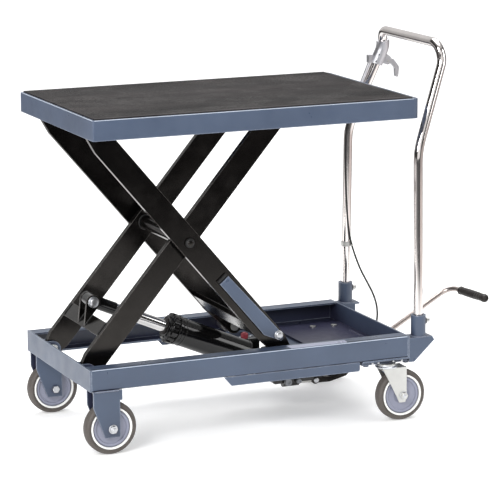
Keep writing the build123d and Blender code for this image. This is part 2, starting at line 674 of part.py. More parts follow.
def caster_mounts():
    """Mounting plate, kingpin and bolts above each swivel caster."""
    left, underside = 278.0, 143.0
    plate = block(left, 411.0, 158.0, 213.5, underside, 150.0)
    plate += block(left, BASE_RIGHT_X, RAIL_INNER_EDGE_Y, BASE_HALF_WIDTH, 150.0, RAIL_BOTTOM)
    plate += rod_z(SWIVEL_AXIS_X, SWIVEL_Y, KINGPIN_R, 118.0, underside)
    plate += rod_z(SWIVEL_AXIS_X, SWIVEL_Y, 10.0, 120.5, 128.5)
    for dx, dy in CASTER_PLATE_BOLTS:
        plate += hex_z(SWIVEL_AXIS_X + dx, SWIVEL_Y + dy, M8_ACROSS_FLATS, 138.0, underside)
    return both_sides(plate)


def swivel_fork(side):
    """Zinc fork: crown, two raked legs and the bearing cup, with the axle bolt through it."""
    inner, leg_t = 17.0, 3.0
    left, right, top, foot = 327.5, 391.0, 133.0, 46.0
    leg = outline((left, top), (365.5, 60.0), (371.5, foot), (387.5, foot), (right, 60.0), (right, top))
    legs = plate_y(leg, inner, inner + leg_t) + plate_y(leg, -inner - leg_t, -inner)
    crown = block(left, right, -inner, inner, top - 4.0, top)
    cup = rod_z(SWIVEL_AXIS_X, 0, 22.0, 132.0, 142.6)
    fork = legs + crown + cup
    fork -= rod_z(SWIVEL_AXIS_X, 0, KINGPIN_R + RUNNING_GAP, 125.0, 150.0)
    fork -= rod_y(SWIVEL_WHEEL_X, WHEEL_R, AXLE_R + RUNNING_GAP, -30.0, 30.0)
    reach = inner + leg_t
    axle = rod_y(SWIVEL_WHEEL_X, WHEEL_R, AXLE_R, -reach - 7.0, reach + 7.0)
    axle += hex_y(SWIVEL_WHEEL_X, WHEEL_R, AXLE_ACROSS_FLATS, reach, reach + 7.0)
    axle += hex_y(SWIVEL_WHEEL_X, WHEEL_R, AXLE_ACROSS_FLATS, -reach - 7.0, -reach)
    return Pos(0, side * SWIVEL_Y, 0) * Compound([fork, axle])


def tyre(x, y):
    ring = Circle(WHEEL_R) - Circle(TYRE_INNER_R)
    band = plate_y(ring, -WHEEL_WIDTH / 2, WHEEL_WIDTH / 2)
    outer_edges = band.edges().filter_by(lambda e: abs(e.length - 2 * pi * WHEEL_R) < 1.0)
    return Pos(x, y, WHEEL_R) * fillet(outer_edges, 6.0)


def hub(x, y, boss_half):
    """A dished wheel centre whose boss runs on the axle."""
    half = WHEEL_WIDTH / 2
    body = plate_y(Circle(TYRE_INNER_R), -half + 1.0, half - 1.0)
    for y0, y1 in ((half - 5.0, half), (-half, -half + 5.0)):
        body -= plate_y(Circle(TYRE_INNER_R - 7.0) - Circle(16.0), y0, y1)
    body += plate_y(Circle(12.0), -boss_half, boss_half)
    return Pos(x, y, WHEEL_R) * (body - plate_y(Circle(AXLE_R + RUNNING_GAP), -30.0, 30.0))


# ---------------------------------------------------------------- foot pump


PUMP_X0 = 125.0
PUMP_X1 = 235.0
PUMP_BOTTOM = 72.0
PUMP_TOP = 150.0
PUMP_HALF_Y = 38.0
PUMP_PLUGS = ((162.0, 9.0), (190.5, 6.0))
VALVE_SPINDLE_R = 4.0


def pump_body():
    """The pump block, the boss round the plunger's bore and the release valve's spindle."""
    body = block(PUMP_X0, PUMP_X1, -PUMP_HALF_Y, PUMP_HALF_Y, PUMP_BOTTOM, PUMP_TOP)
    body = fillet(body.edges().filter_by(Axis.Y), 6.0)
    body += rod_x(0, PLUNGER_Z, PLUNGER_R + 4.0, 166.0, 208.0)
    body -= rod_x(0, PLUNGER_Z, PLUNGER_R + RUNNING_GAP, 170.0, 240.0)
    for x, radius in PUMP_PLUGS:
        body += rod_y(x, PUMP_BOTTOM + 4.0, radius, -PUMP_HALF_Y - 8.0, -PUMP_HALF_Y)
    spindle = rod_y(*VALVE_PIVOT, VALVE_SPINDLE_R, PUMP_HALF_Y - 1.0, PUMP_HALF_Y + 8.0)
    return body + spindle + rod_y(*VALVE_PIVOT, 6.0, PUMP_HALF_Y + 6.5, PUMP_HALF_Y + 9.0)


def pump_brackets():
    """Cheeks for the cylinder's trunnion, ears and pin for the pedal, and the cable's stop."""
    cheek = outline((PUMP_X0, 100.0), (84.0, 100.0), (76.0, 125.0), (82.0, 142.0), (PUMP_X0, 142.0))
    ear = link(PUMP_X1 - 3.0, 96.0, 14.0, PEDAL_X, PEDAL_Z, 14.0)
    ear -= Pos(PEDAL_X, PEDAL_Z) * Circle(PEDAL_PIN_R + RUNNING_GAP)
    ear = plate_y(ear, 15.0, 21.0) - block(PUMP_X1 - 30.0, PUMP_X1, 0.0, 30.0, PUMP_BOTTOM, PUMP_TOP)
    stop_x, stop_y, stop_z = CABLE_END
    stop_z0, stop_z1 = stop_z - 9.0, stop_z + 7.0
    return Compound([
        plate_y(cheek, 18.5, 24.5), far_side(plate_y(cheek, 18.5, 24.5)), ear, far_side(ear),
        rod_y(PEDAL_X, PEDAL_Z, PEDAL_PIN_R, -25.0, 25.0),
        block(PUMP_X1, stop_x - 5.0, 21.0, 26.0, stop_z0, stop_z1),
        block(stop_x - 5.0, stop_x, 21.0, stop_y + 6.0, stop_z0, stop_z1),
    ])


RESERVOIR_TOP = 172.0


def pump_reservoir():
    box = block(62.0, PUMP_X0, 39.0, 70.0, 100.0, RESERVOIR_TOP)
    return fillet(box.edges(), 5.0)


def filler_plug():
    x, y, rim = 89.0, 53.0, RESERVOIR_TOP + 12.0
    return rod_z(x, y, 9.0, RESERVOIR_TOP, rim) + rod_z(x, y, 6.0, rim, rim + 3.0)


def valve_lever():
    x, z = VALVE_PIVOT
    bar = link(x, z, 9.0, x + 28.0, z - 14.0, 5.0) - Pos(x, z) * Circle(VALVE_SPINDLE_R + RUNNING_GAP)
    return plate_y(bar, PUMP_HALF_Y + 1.0, PUMP_HALF_Y + 6.0)


CRANK_R = 10.5


def pump_plunger():
    head_end = CRANK_X - CRANK_R - 0.5
    plunger = rod_x(0, PLUNGER_Z, PLUNGER_R, 185.0, head_end)
    return plunger + rod_x(0, PLUNGER_Z, PLUNGER_R + 0.8, head_end - 4.0, head_end)


ROD_SLOPE = 0.5755
PEDAL_ROD_R = 6.0
ROD_CORNER_X = 626.0
GRIP_END_X = 643.3
GRIP_END_Y = -148.0
GRIP_FROM_CORNER = 0.32
GRIP_R = 10.5


def rod_point(x):
    """The point of the pedal rod's axis at x, before its corner."""
    return x, 0.0, 167.5 + ROD_SLOPE * (x - 463.0)


def pedal_arm():
    """The cranked arm between the pedal's pivot, the plunger and the rod."""
    low_x, low_z = 290.0, PLUNGER_Z - 2.0
    bend_x, bend_z = 332.0, 72.0
    crank = link(PEDAL_X, PEDAL_Z, 12.0, CRANK_X, PLUNGER_Z, CRANK_R)
    crank += link(CRANK_X, PLUNGER_Z, 8.0, low_x, low_z, 6.5)
    crank += link(low_x, low_z, 6.5, bend_x, bend_z, 6.5)
    crank += link(bend_x, bend_z, 6.5, 380.0, 119.0, 9.0)
    arm_plate = plate_y(crank, -10.0, 10.0)
    arm_plate += rod_y(CRANK_X, PLUNGER_Z, 7.0, -14.0, 14.0)
    arm_plate -= rod_y(PEDAL_X, PEDAL_Z, PEDAL_PIN_R + RUNNING_GAP, -20.0, 20.0)
    arm_plate += sweep_circle(Line(rod_point(374.0), rod_point(404.0)), 11.0)
    return arm_plate - sweep_circle(Line(rod_point(360.0), rod_point(440.0)), PEDAL_ROD_R + RUNNING_GAP)


def pedal_rod():
    corner = rod_point(ROD_CORNER_X)
    path = FilletPolyline(rod_point(380.0), corner, (GRIP_END_X, GRIP_END_Y, corner[2]), radius=34.0)
    return sweep_circle(path, PEDAL_ROD_R)


def pedal_grip():
    z = rod_point(ROD_CORNER_X)[2]
    start_x = ROD_CORNER_X + GRIP_FROM_CORNER * (GRIP_END_X - ROD_CORNER_X)
    axis = Line((start_x, GRIP_FROM_CORNER * GRIP_END_Y, z), (GRIP_END_X, GRIP_END_Y, z))
    grip = sweep_circle(axis, GRIP_R) + Pos(GRIP_END_X, GRIP_END_Y, z) * Sphere(GRIP_R)
    return grip - sweep_circle(axis, PEDAL_ROD_R + RUNNING_GAP)


near_rail = base_rail_near()
far_outer_arm = outer_arm_far()
far_inner_arm = inner_arm_far()

SUB_PARTS = {
    "base_rail_near": near_rail,
    "base_rail_far": far_side(near_rail),
    "base_end_panel": base_end_panel(),
    "base_rear_panel": base_rear_panel(),
    "cargo_tray": cargo_tray(),
    "pump_skirts": pump_skirts(),
    "frame_bolts": frame_bolts(),
    "handle_brackets": handle_brackets(),
    "handle_tube": handle_tube(),
    "release_housing": release_housing(),
    "release_cable": release_cable(),
    "cable_clip": cable_clip(),
    "base_hinge_pins": base_hinge_pins(),
    "fixed_forks": fixed_forks(),
    "fixed_axles": fixed_axles(),
    "caster_mounts": caster_mounts(),
    "pump_body": pump_body(),
    "pump_brackets": pump_brackets(),
    "pump_reservoir": pump_reservoir(),
    "filler_plug": filler_plug(),
    "inner_arm_near": far_side(far_inner_arm),
    "inner_arm_far": far_inner_arm,
    "inner_cross_members": inner_cross_members(),
    "clevis_bracket": clevis_bracket(),
    "clevis_pin": clevis_pin(),
    "upper_roller_pins": upper_roller_pins(),
    "outer_arm_near": outer_arm_near(far_outer_arm),
    "outer_arm_far": far_outer_arm,
    "outer_cross_bar": outer_cross_bar(),
    "centre_bolts": centre_bolts(),
    "strut_bolt": strut_bolt(),
    "lower_roller_pins": lower_roller_pins(),
    "safety_strut": safety_strut(),
    "platform_pan": platform_pan(),
    "rubber_mat": rubber_mat(),
    "platform_hinge_brackets": platform_hinge_brackets(),
    "platform_hinge_pins": platform_hinge_pins(),
    "roller_guides": roller_guides(),
    "upper_rollers": upper_rollers(),
    "lower_rollers": lower_rollers(),
    "rod_end": rod_end(),
    "cylinder_rod": cylinder_rod(),
    "cylinder_barrel": cylinder_barrel(),
    "gland_nut": gland_nut(),
    "swivel_fork_near": swivel_fork(-1),
    "swivel_fork_far": swivel_fork(1),
    "tyre_fixed_near": tyre(FIXED_WHEEL_X, -FIXED_WHEEL_Y),
    "tyre_fixed_far": tyre(FIXED_WHEEL_X, FIXED_WHEEL_Y),
    "tyre_swivel_near": tyre(SWIVEL_WHEEL_X, -SWIVEL_Y),
    "tyre_swivel_far": tyre(SWIVEL_WHEEL_X, SWIVEL_Y),
    "hub_fixed_near": hub(FIXED_WHEEL_X, -FIXED_WHEEL_Y, FIXED_BOSS_HALF),
    "hub_fixed_far": hub(FIXED_WHEEL_X, FIXED_WHEEL_Y, FIXED_BOSS_HALF),
    "hub_swivel_near": hub(SWIVEL_WHEEL_X, -SWIVEL_Y, SWIVEL_BOSS_HALF),
    "hub_swivel_far": hub(SWIVEL_WHEEL_X, SWIVEL_Y, SWIVEL_BOSS_HALF),
    "pedal_arm": pedal_arm(),
    "pedal_rod": pedal_rod(),
    "pedal_grip": pedal_grip(),
    "pump_plunger": pump_plunger(),
    "release_lever": release_lever(),
    "valve_lever": valve_lever(),
}

os.makedirs("parts", exist_ok=True)
for name, shape in SUB_PARTS.items():
    export_step(Pos(TABLE_SHIFT_X, 0, 0) * shape, f"parts/{name}.step")
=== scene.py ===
import json
from math import cos, pi, radians, sin, sqrt

import bmesh
import bpy
from mathutils import Matrix, Vector


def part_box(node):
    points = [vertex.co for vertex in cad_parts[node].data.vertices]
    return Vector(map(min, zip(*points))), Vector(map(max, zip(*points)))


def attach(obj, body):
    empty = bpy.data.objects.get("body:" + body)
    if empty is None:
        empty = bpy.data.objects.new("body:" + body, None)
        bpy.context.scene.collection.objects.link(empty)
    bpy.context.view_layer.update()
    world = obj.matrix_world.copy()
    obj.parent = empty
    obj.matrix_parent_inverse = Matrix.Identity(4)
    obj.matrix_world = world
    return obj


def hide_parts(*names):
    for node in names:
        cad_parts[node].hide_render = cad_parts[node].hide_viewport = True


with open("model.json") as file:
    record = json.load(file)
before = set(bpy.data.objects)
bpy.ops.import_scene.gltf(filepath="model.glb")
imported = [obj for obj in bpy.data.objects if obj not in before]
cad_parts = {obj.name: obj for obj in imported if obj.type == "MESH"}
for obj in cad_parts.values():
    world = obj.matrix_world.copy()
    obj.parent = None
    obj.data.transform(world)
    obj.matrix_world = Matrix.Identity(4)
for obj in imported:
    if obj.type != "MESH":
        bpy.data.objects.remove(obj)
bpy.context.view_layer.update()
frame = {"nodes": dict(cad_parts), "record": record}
JOINTS = {joint["name"]: joint for joint in frame["record"]["behaviour"]["joints"]}
NEAR = Vector((0, -1, 0))
Y_AXIS = Vector((0, 1, 0))
Z_AXIS = Vector((0, 0, 1))

# ------------------------------------------------------------------ frame helpers


def box(node):
    low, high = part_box(node)
    return Vector(low), Vector(high)


def joint_point(name):
    return Vector(JOINTS[name]["pos_m"])


# ------------------------------------------------------------------ mesh helpers


def make_piece(name, mesh_data, material, body, smooth_angle=35.0):
    """Wraps a bmesh as a smooth-shaded piece that rides on a body."""
    mesh = bpy.data.meshes.new(name)
    bmesh.ops.recalc_face_normals(mesh_data, faces=mesh_data.faces)
    mesh_data.to_mesh(mesh)
    mesh_data.free()
    mesh.polygons.foreach_set("use_smooth", [True] * len(mesh.polygons))
    mesh.set_sharp_from_angle(angle=radians(smooth_angle))
    mesh.materials.append(material)
    piece = bpy.data.objects.new(name, mesh)
    bpy.context.scene.collection.objects.link(piece)
    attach(piece, body)
    return piece


def axis_frame(axis):
    """Two unit vectors that make a right-handed frame with the axis."""
    axis = Vector(axis).normalized()
    helper = Z_AXIS if abs(axis.z) < 0.9 else Vector((1, 0, 0))
    across = axis.cross(helper).normalized()
    return across, axis.cross(across).normalized(), axis


def circle_points(middle, axis, radius, turns):
    """Points of a circle about the axis, one for each turn."""
    across, up = axis_frame(axis)[:2]
    return [Vector(middle) + (across * cos(turn) + up * sin(turn)) * radius for turn in turns]


def notched_outline(radius, notches, points_each, low_points, depth):
    """A circle of points in equal groups, each group's first points set in by the depth."""
    outline = []
    for k in range(notches * points_each):
        turn = 2 * pi * k / (notches * points_each)
        r = radius - (depth if k % points_each < low_points else 0.0)
        outline.append((r * cos(turn), r * sin(turn)))
    return outline


def add_lathe(mesh_data, profile, origin, axis, segments=64):
    """Turns a closed profile of (radius, distance along the axis) about the axis."""
    across, up, along = axis_frame(axis)
    origin = Vector(origin)
    rings = []
    for step in range(segments):
        turn = 2 * pi * step / segments
        spoke = across * cos(turn) + up * sin(turn)
        rings.append([mesh_data.verts.new(origin + spoke * r + along * t) for r, t in profile])
    count = len(profile)
    for step in range(segments):
        here, after = rings[step], rings[(step + 1) % segments]
        for k in range(count):
            j = (k + 1) % count
            mesh_data.faces.new((here[k], here[j], after[j], after[k]))


def add_prism(mesh_data, outline, origin, axis, depth, chamfer, x_dir=None):
    """A plate with chamfered rims: outline points (u, v) across the axis, depth along it."""
    along = Vector(axis).normalized()
    across = Vector(x_dir).normalized() if x_dir else axis_frame(axis)[0]
    up = along.cross(across).normalized()
    origin = Vector(origin)
    middle = Vector((sum(u for u, v in outline), sum(v for u, v in outline))) / len(outline)
    levels = [(0.0, chamfer), (chamfer, 0.0), (depth - chamfer, 0.0), (depth, chamfer)]
    rings = []
    for along_by, inset in levels:
        ring = []
        for u, v in outline:
            point = Vector((u, v))
            arm = point - middle
            point = point - arm * (inset / arm.length)
            ring.append(mesh_data.verts.new(origin + across * point.x + up * point.y + along * along_by))
        rings.append(ring)
    count = len(outline)
    for low, high in zip(rings, rings[1:]):
        for k in range(count):
            j = (k + 1) % count
            mesh_data.faces.new((low[k], low[j], high[j], high[k]))
    mesh_data.faces.new(rings[0][::-1])
    mesh_data.faces.new(rings[-1])


def add_tube(mesh_data, points, radii, sides=12, closed=False):
    """A round bar through the points, one radius per point, with closed ends."""
    points = [Vector(p) for p in points]
    count = len(points)
    turns = [2 * pi * s / sides for s in range(sides)]
    rings = []
    across = None
    for k, point in enumerate(points):
        if closed:
            along = points[(k + 1) % count] - points[k - 1]
        else:
            along = points[min(k + 1, count - 1)] - points[max(k - 1, 0)]
        along.normalize()
        if across is None:
            across = axis_frame(along)[0]
        across = (across - along * across.dot(along)).normalized()
        up = along.cross(across)
        spokes = [across * cos(turn) + up * sin(turn) for turn in turns]
        rings.append([mesh_data.verts.new(point + spoke * radii[k]) for spoke in spokes])
    pairs = list(zip(rings, rings[1:]))
    if closed:
        pairs.append((rings[-1], rings[0]))
    for low, high in pairs:
        for s in range(sides):
            j = (s + 1) % sides
            mesh_data.faces.new((low[s], low[j], high[j], high[s]))
    if not closed:
        mesh_data.faces.new(rings[0][::-1])
        mesh_data.faces.new(rings[-1])


RIPPLE_PITCH = 0.0035
RIPPLE_SWELL = 0.16
RIPPLE_POINTS = 4


def rippled(length, radius):
    """Radii along a weld bead, with a ripple every pitch."""
    steps = max(RIPPLE_POINTS, int(length / RIPPLE_PITCH) * RIPPLE_POINTS)
    return [radius * (1.0 + RIPPLE_SWELL * sin(2 * pi * k / RIPPLE_POINTS)) for k in range(steps + 1)]


def add_weld(mesh_data, start, end, radius):
    """A straight bead."""
    start, end = Vector(start), Vector(end)
    radii = rippled((end - start).length, radius)
    points = [start.lerp(end, k / (len(radii) - 1)) for k in range(len(radii))]
    add_tube(mesh_data, points, radii, sides=8)


def add_ring_weld(mesh_data, middle, axis, ring_radius, radius):
    """A bead that runs round in a ring."""
    radii = rippled(2 * pi * ring_radius, radius)[:-1]
    turns = [2 * pi * k / len(radii) for k in range(len(radii))]
    add_tube(mesh_data, circle_points(middle, axis, ring_radius, turns), radii, sides=8, closed=True)


# ------------------------------------------------------------------ materials


class Shader:
    """A principled material with short ways to add and link nodes."""

    def __init__(self, name, **constants):
        self.material = bpy.data.materials.new(name)
        self.material.use_nodes = True
        self.tree = self.material.node_tree
        self.bsdf = self.tree.nodes["Principled BSDF"]
        for socket, value in constants.items():
            self.bsdf.inputs[socket.replace("_", " ")].default_value = value
        self.place = self.node("ShaderNodeTexCoord").outputs["Object"]

    def node(self, kind, **settings):
        made = self.tree.nodes.new(kind)
        for key, value in settings.items():
            setattr(made, key, value)
        return made

    def link(self, source, target):
        self.tree.links.new(source, target)

    def noise(self, scale, detail=4.0, stretch=(1, 1, 1), roughness=0.55):
        mapping = self.node("ShaderNodeMapping")
        mapping.inputs["Scale"].default_value = stretch
        self.link(self.place, mapping.inputs["Vector"])
        made = self.node("ShaderNodeTexNoise")
        made.inputs["Scale"].default_value = scale
        made.inputs["Detail"].default_value = detail
        made.inputs["Roughness"].default_value = roughness
        self.link(mapping.outputs["Vector"], made.inputs["Vector"])
        return made.outputs["Fac"]

    def ramp(self, source, low, high, low_value=0.0, high_value=1.0):
        made = self.node("ShaderNodeMapRange")
        made.inputs["From Min"].default_value = low
        made.inputs["From Max"].default_value = high
        made.inputs["To Min"].default_value = low_value
        made.inputs["To Max"].default_value = high_value
        self.link(source, made.inputs["Value"])
        return made.outputs["Result"]

    def multiply(self, first, second):
        made = self.node("ShaderNodeMath", operation="MULTIPLY", use_clamp=True)
        self.link(first, made.inputs[0])
        self.link(second, made.inputs[1])
        return made.outputs[0]

    def mix(self, factor, first, second):
        """Mixes two colours, each given as a tuple or as another node's output."""
        made = self.node("ShaderNodeMix", data_type="RGBA")
        self.link(factor, made.inputs["Factor"])
        for socket, value in ((made.inputs["A"], first), (made.inputs["B"], second)):
            if isinstance(value, tuple):
                socket.default_value = (*value, 1.0)
            else:
                self.link(value, socket)
        return made.outputs["Result"]

    def edges(self, radius, low=0.02, high=0.25):
        """A mask of the outer edges: where a bevelled normal leaves the true one."""
        bevel = self.node("ShaderNodeBevel", samples=4)
        bevel.inputs["Radius"].default_value = radius
        geometry = self.node("ShaderNodeNewGeometry")
        dot = self.node("ShaderNodeVectorMath", operation="DOT_PRODUCT")
        self.link(bevel.outputs["Normal"], dot.inputs[0])
        self.link(geometry.outputs["Normal"], dot.inputs[1])
        return self.ramp(dot.outputs["Value"], 1.0 - low, 1.0 - high)

    def bump(self, height, strength, distance, bevel_radius=0.0):
        made = self.node("ShaderNodeBump")
        made.inputs["Strength"].default_value = strength
        made.inputs["Distance"].default_value = distance
        self.link(height, made.inputs["Height"])
        if bevel_radius:
            bevel = self.node("ShaderNodeBevel", samples=4)
            bevel.inputs["Radius"].default_value = bevel_radius
            self.link(bevel.outputs["Normal"], made.inputs["Normal"])
        self.link(made.outputs["Normal"], self.bsdf.inputs["Normal"])

    def set(self, colour=None, roughness=None, metallic=None):
        for value, socket in ((colour, "Base Color"), (roughness, "Roughness"), (metallic, "Metallic")):
            if value is not None:
                self.link(value, self.bsdf.inputs[socket])


def shade(colour, factor):
    return tuple(min(1.0, channel * factor) for channel in colour)


def paint(
    name, colour, roughness, scuffed_and_lit_colour,
    scuff_and_highlight=0.5, grain=900.0, recess=None, gloss=0.5, tint=(1.0, 1.0, 1.0), edge=0.0026,
):
    """Sprayed paint: faint mottling, orange peel, scuffed edges that also carry a painted highlight, and
    painted shade that darkens the recesses.
    """
    shader = Shader(name, Specular_IOR_Level=gloss, Specular_Tint=(*tint, 1.0))
    cloud = shader.noise(7.0, 5.0)
    tone = shader.mix(shader.ramp(cloud, 0.3, 0.7), shade(colour, 0.88), shade(colour, 1.12))
    # Painted shade: ambient occlusion pulls the colour towards the recess colour in hollows and corners.
    if recess:
        occlusion_shade = shader.node("ShaderNodeAmbientOcclusion", samples=6)
        occlusion_shade.inputs["Distance"].default_value = 0.11
        tone = shader.mix(shader.ramp(occlusion_shade.outputs["AO"], 0.35, 0.85), recess, tone)
    # A paler line along the edges: scuffed paint and also a painted highlight.
    speck = shader.ramp(shader.noise(160.0, 6.0, roughness=0.7), 0.42, 0.62, 0.45, 1.0)
    scuffed_and_lit_edges = shader.multiply(shader.edges(edge), speck)
    scuffed_and_lit_edges = shader.ramp(scuffed_and_lit_edges, 0.0, 1.0, 0.0, scuff_and_highlight)
    shader.set(
        colour=shader.mix(scuffed_and_lit_edges, tone, scuffed_and_lit_colour),
        roughness=shader.ramp(shader.noise(28.0, 5.0), 0.3, 0.7, roughness - 0.05, roughness + 0.09),
    )
    shader.bump(shader.noise(grain, 2.0), 0.12, 0.0006, bevel_radius=0.0012)
    return shader.material


def plated(name, colour, roughness, spread, scratch=(1, 1, 1), bump=0.05, bevel_radius=0.0006):
    """Bare or plated metal: smudged roughness and fine scratches along the stretch."""
    shader = Shader(name, Metallic=1.0)
    cloud = shader.noise(16.0, 5.0)
    fine = shader.noise(420.0, 4.0, stretch=scratch)
    tone = shader.mix(shader.ramp(cloud, 0.3, 0.7), shade(colour, 0.9), shade(colour, 1.06))
    shader.set(colour=tone, roughness=shader.ramp(fine, 0.3, 0.7, roughness, roughness + spread))
    shader.bump(fine, bump, 0.0003, bevel_radius=bevel_radius)
    return shader.material


def rubber(name, colour, roughness, dust, dust_colour, grain=700.0, stretch=(1, 1, 1)):
    """Moulded rubber: fine grain, with pale dust in patches."""
    shader = Shader(name, Specular_IOR_Level=0.35)
    cloud = shader.noise(22.0, 6.0, stretch=stretch)
    fine = shader.noise(grain, 3.0, stretch=stretch)
    tone = shader.mix(shader.ramp(fine, 0.3, 0.7), shade(colour, 0.8), shade(colour, 1.2))
    dusty = shader.ramp(cloud, 0.45, 0.75, 0.0, dust)
    shader.set(
        colour=shader.mix(dusty, tone, dust_colour),
        roughness=shader.ramp(cloud, 0.3, 0.7, roughness - 0.06, roughness + 0.08),
    )
    shader.bump(fine, 0.25, 0.0005)
    return shader.material


def worn_mat_rubber(name):
    """Dark rubber with long scuffed streaks, dusty patches and a fine moulded weave."""
    shader = Shader(name, Specular_IOR_Level=0.10)
    long_streak = shader.noise(26.0, 5.0, stretch=(0.07, 1, 1), roughness=0.6)
    band = shader.noise(5.0, 3.0, stretch=(0.12, 1, 1))
    patch = shader.noise(9.0, 6.0, roughness=0.65)
    weave = shader.noise(330.0, 2.0)
    base = shader.mix(shader.ramp(long_streak, 0.38, 0.62), (0.0035, 0.0032, 0.0032), (0.031, 0.028, 0.028))
    base = shader.mix(shader.ramp(band, 0.42, 0.58, 0.0, 0.45), base, (0.038, 0.035, 0.035))
    dust = shader.multiply(shader.ramp(patch, 0.46, 0.62), shader.ramp(weave, 0.4, 0.6))
    shader.set(
        colour=shader.mix(shader.ramp(dust, 0.0, 1.0, 0.0, 0.4), base, (0.105, 0.097, 0.095)),
        roughness=shader.ramp(long_streak, 0.3, 0.7, 0.52, 0.72),
    )
    shader.bump(weave, 0.35, 0.0006)
    return shader.material


def plastic(name, colour, roughness):
    """Moulded plastic: slight mottling and a faint grain."""
    shader = Shader(name)
    cloud = shader.noise(30.0, 4.0)
    tone = shader.mix(shader.ramp(cloud, 0.3, 0.7), shade(colour, 0.93), shade(colour, 1.07))
    shader.set(colour=tone, roughness=shader.ramp(cloud, 0.3, 0.7, roughness - 0.04, roughness + 0.08))
    shader.bump(shader.noise(1200.0, 2.0), 0.08, 0.0003, bevel_radius=0.0008)
    return shader.material


# The pale edge colour at full strength is partly scuffing and partly a painted highlight along the edges;
# the recess colour is painted shade.
BLUE = paint(
    "blue_enamel", (0.055, 0.076, 0.121), 0.32, (0.34, 0.38, 0.46),
    scuff_and_highlight=1.0, recess=(0.018, 0.019, 0.041), edge=0.0036,
)
# A darker copy of the blue paint: painted shade on the inside of the tray.
SHADED_TRAY_BLUE = paint(
    "tray_enamel_painted_shade", (0.026, 0.027, 0.058), 0.36, (0.16, 0.17, 0.24),
    scuff_and_highlight=0.6, recess=(0.014, 0.014, 0.034),
)
# The pale edge colour is partly scuffing and partly a painted highlight along the arms' edges.
BLACK = paint(
    "black_enamel", (0.0015, 0.0014, 0.0014), 0.15, (0.20, 0.185, 0.175),
    scuff_and_highlight=0.7, gloss=0.38, tint=(1.0, 0.93, 0.87),
)
BLACK_CAST = paint(
    "black_casting", (0.003, 0.003, 0.0032), 0.09, (0.12, 0.115, 0.11), scuff_and_highlight=0.5, grain=350.0,
)
WELD_BLUE = paint("weld_blue", (0.085, 0.105, 0.155), 0.3, (0.45, 0.48, 0.56), scuff_and_highlight=0.9)
WELD_BLACK = paint("weld_black", (0.006, 0.006, 0.006), 0.3, (0.1, 0.1, 0.1), scuff_and_highlight=0.3)
CHROME = plated("chrome_plate", (0.80, 0.755, 0.735), 0.05, 0.06, scratch=(1, 1, 0.2), bump=0.02)
ROD_CHROME = plated("rod_chrome", (0.72, 0.71, 0.70), 0.09, 0.08, bump=0.02)
ZINC = plated("zinc_plate", (0.60, 0.60, 0.58), 0.3, 0.16, bump=0.08)
BRIGHT_ZINC = plated("bright_zinc", (0.60, 0.61, 0.63), 0.26, 0.12, bump=0.05)
PEDAL_STEEL = plated("pedal_steel", (0.44, 0.385, 0.36), 0.24, 0.12, bump=0.05)
DULL_STEEL = plated("dull_steel", (0.26, 0.27, 0.29), 0.38, 0.14, bump=0.1)
SILVER_CAST = plated("silver_casting", (0.56, 0.56, 0.59), 0.36, 0.14, bump=0.12)
TYRE = rubber("grey_tyre", (0.082, 0.071, 0.064), 0.55, 0.3, (0.17, 0.155, 0.145))
MAT = worn_mat_rubber("platform_mat")
# Near black: the centre bolts' own colour, and painted shade for the housing screws' slots and the gap at
# the strut's end.
DARK_SLOT = plastic("dark_recess", (0.006, 0.006, 0.006), 0.5)
# A pale painted highlight for thin lines along the folded edges of rails and platform.
EDGE_HIGHLIGHT = paint("painted_edge_highlight", (0.40, 0.46, 0.55), 0.28, (0.55, 0.58, 0.64), scuff_and_highlight=0.9)
FOLD_SHADE = paint("fold_shade", (0.022, 0.030, 0.048), 0.5, (0.06, 0.07, 0.10), scuff_and_highlight=0.3)
# Painted light: the pale colour of the lit part of the near rail's top flange.
LIT_FLANGE_PAINT = paint("painted_light_strip", (0.38, 0.40, 0.52), 0.3, (0.5, 0.52, 0.6), scuff_and_highlight=0.7)
GRIP = rubber("pedal_grip_rubber", (0.016, 0.013, 0.012), 0.42, 0.2, (0.05, 0.045, 0.04))
CABLE = plastic("cable_sheath", (0.010, 0.010, 0.010), 0.4)
RING = plastic("white_wheel_ring", (0.82, 0.82, 0.80), 0.35)
HUB = plastic("lavender_hub", (0.225, 0.235, 0.305), 0.34)
RED = plastic("red_plug", (0.27, 0.030, 0.045), 0.38)

SLOT_MATERIALS = {
    "blue_paint": BLUE, "black_paint": BLACK, "zinc": ZINC, "chrome": CHROME,
    "cast_silver": SILVER_CAST, "mat_rubber": MAT, "grip_rubber": GRIP, "cable_black": CABLE,
    "tyre_grey": TYRE, "hub_grey": HUB, "red_plastic": RED,
}
NODE_MATERIALS = {
    "cylinder_rod": ROD_CHROME, "pump_body": BLACK_CAST, "pump_reservoir": BLACK_CAST,
    "clevis_pin": BRIGHT_ZINC, "strut_bolt": BRIGHT_ZINC, "fixed_axles": BRIGHT_ZINC,
    "rod_end": BLACK_CAST, "cylinder_barrel": BLACK_CAST, "cargo_tray": SHADED_TRAY_BLUE,
    "pedal_rod": PEDAL_STEEL, "centre_bolts": DARK_SLOT,
}


def dress_cad_nodes():
    slots = {part["node"]: part["material_slot"] for part in frame["record"]["subparts"]}
    for node, shown in frame["nodes"].items():
        material = NODE_MATERIALS.get(node, SLOT_MATERIALS[slots[node]])
        for slot in shown.material_slots:
            slot.link = "OBJECT"
            slot.material = material


# ------------------------------------------------------------------ wheels

WHEELS = {
    "tyre_fixed_near": "wheel_fixed_near", "tyre_fixed_far": "wheel_fixed_far",
    "tyre_swivel_near": "wheel_swivel_near", "tyre_swivel_far": "wheel_swivel_far",
}
RING_OUTER_SHARE = 0.79
RING_INNER_SHARE = 0.727


def mirrored(profile):
    """A closed profile from its half at positive distance: out along it, back along its mirror."""
    return profile + [(r, -t) for r, t in reversed(profile) if t != 0.0]


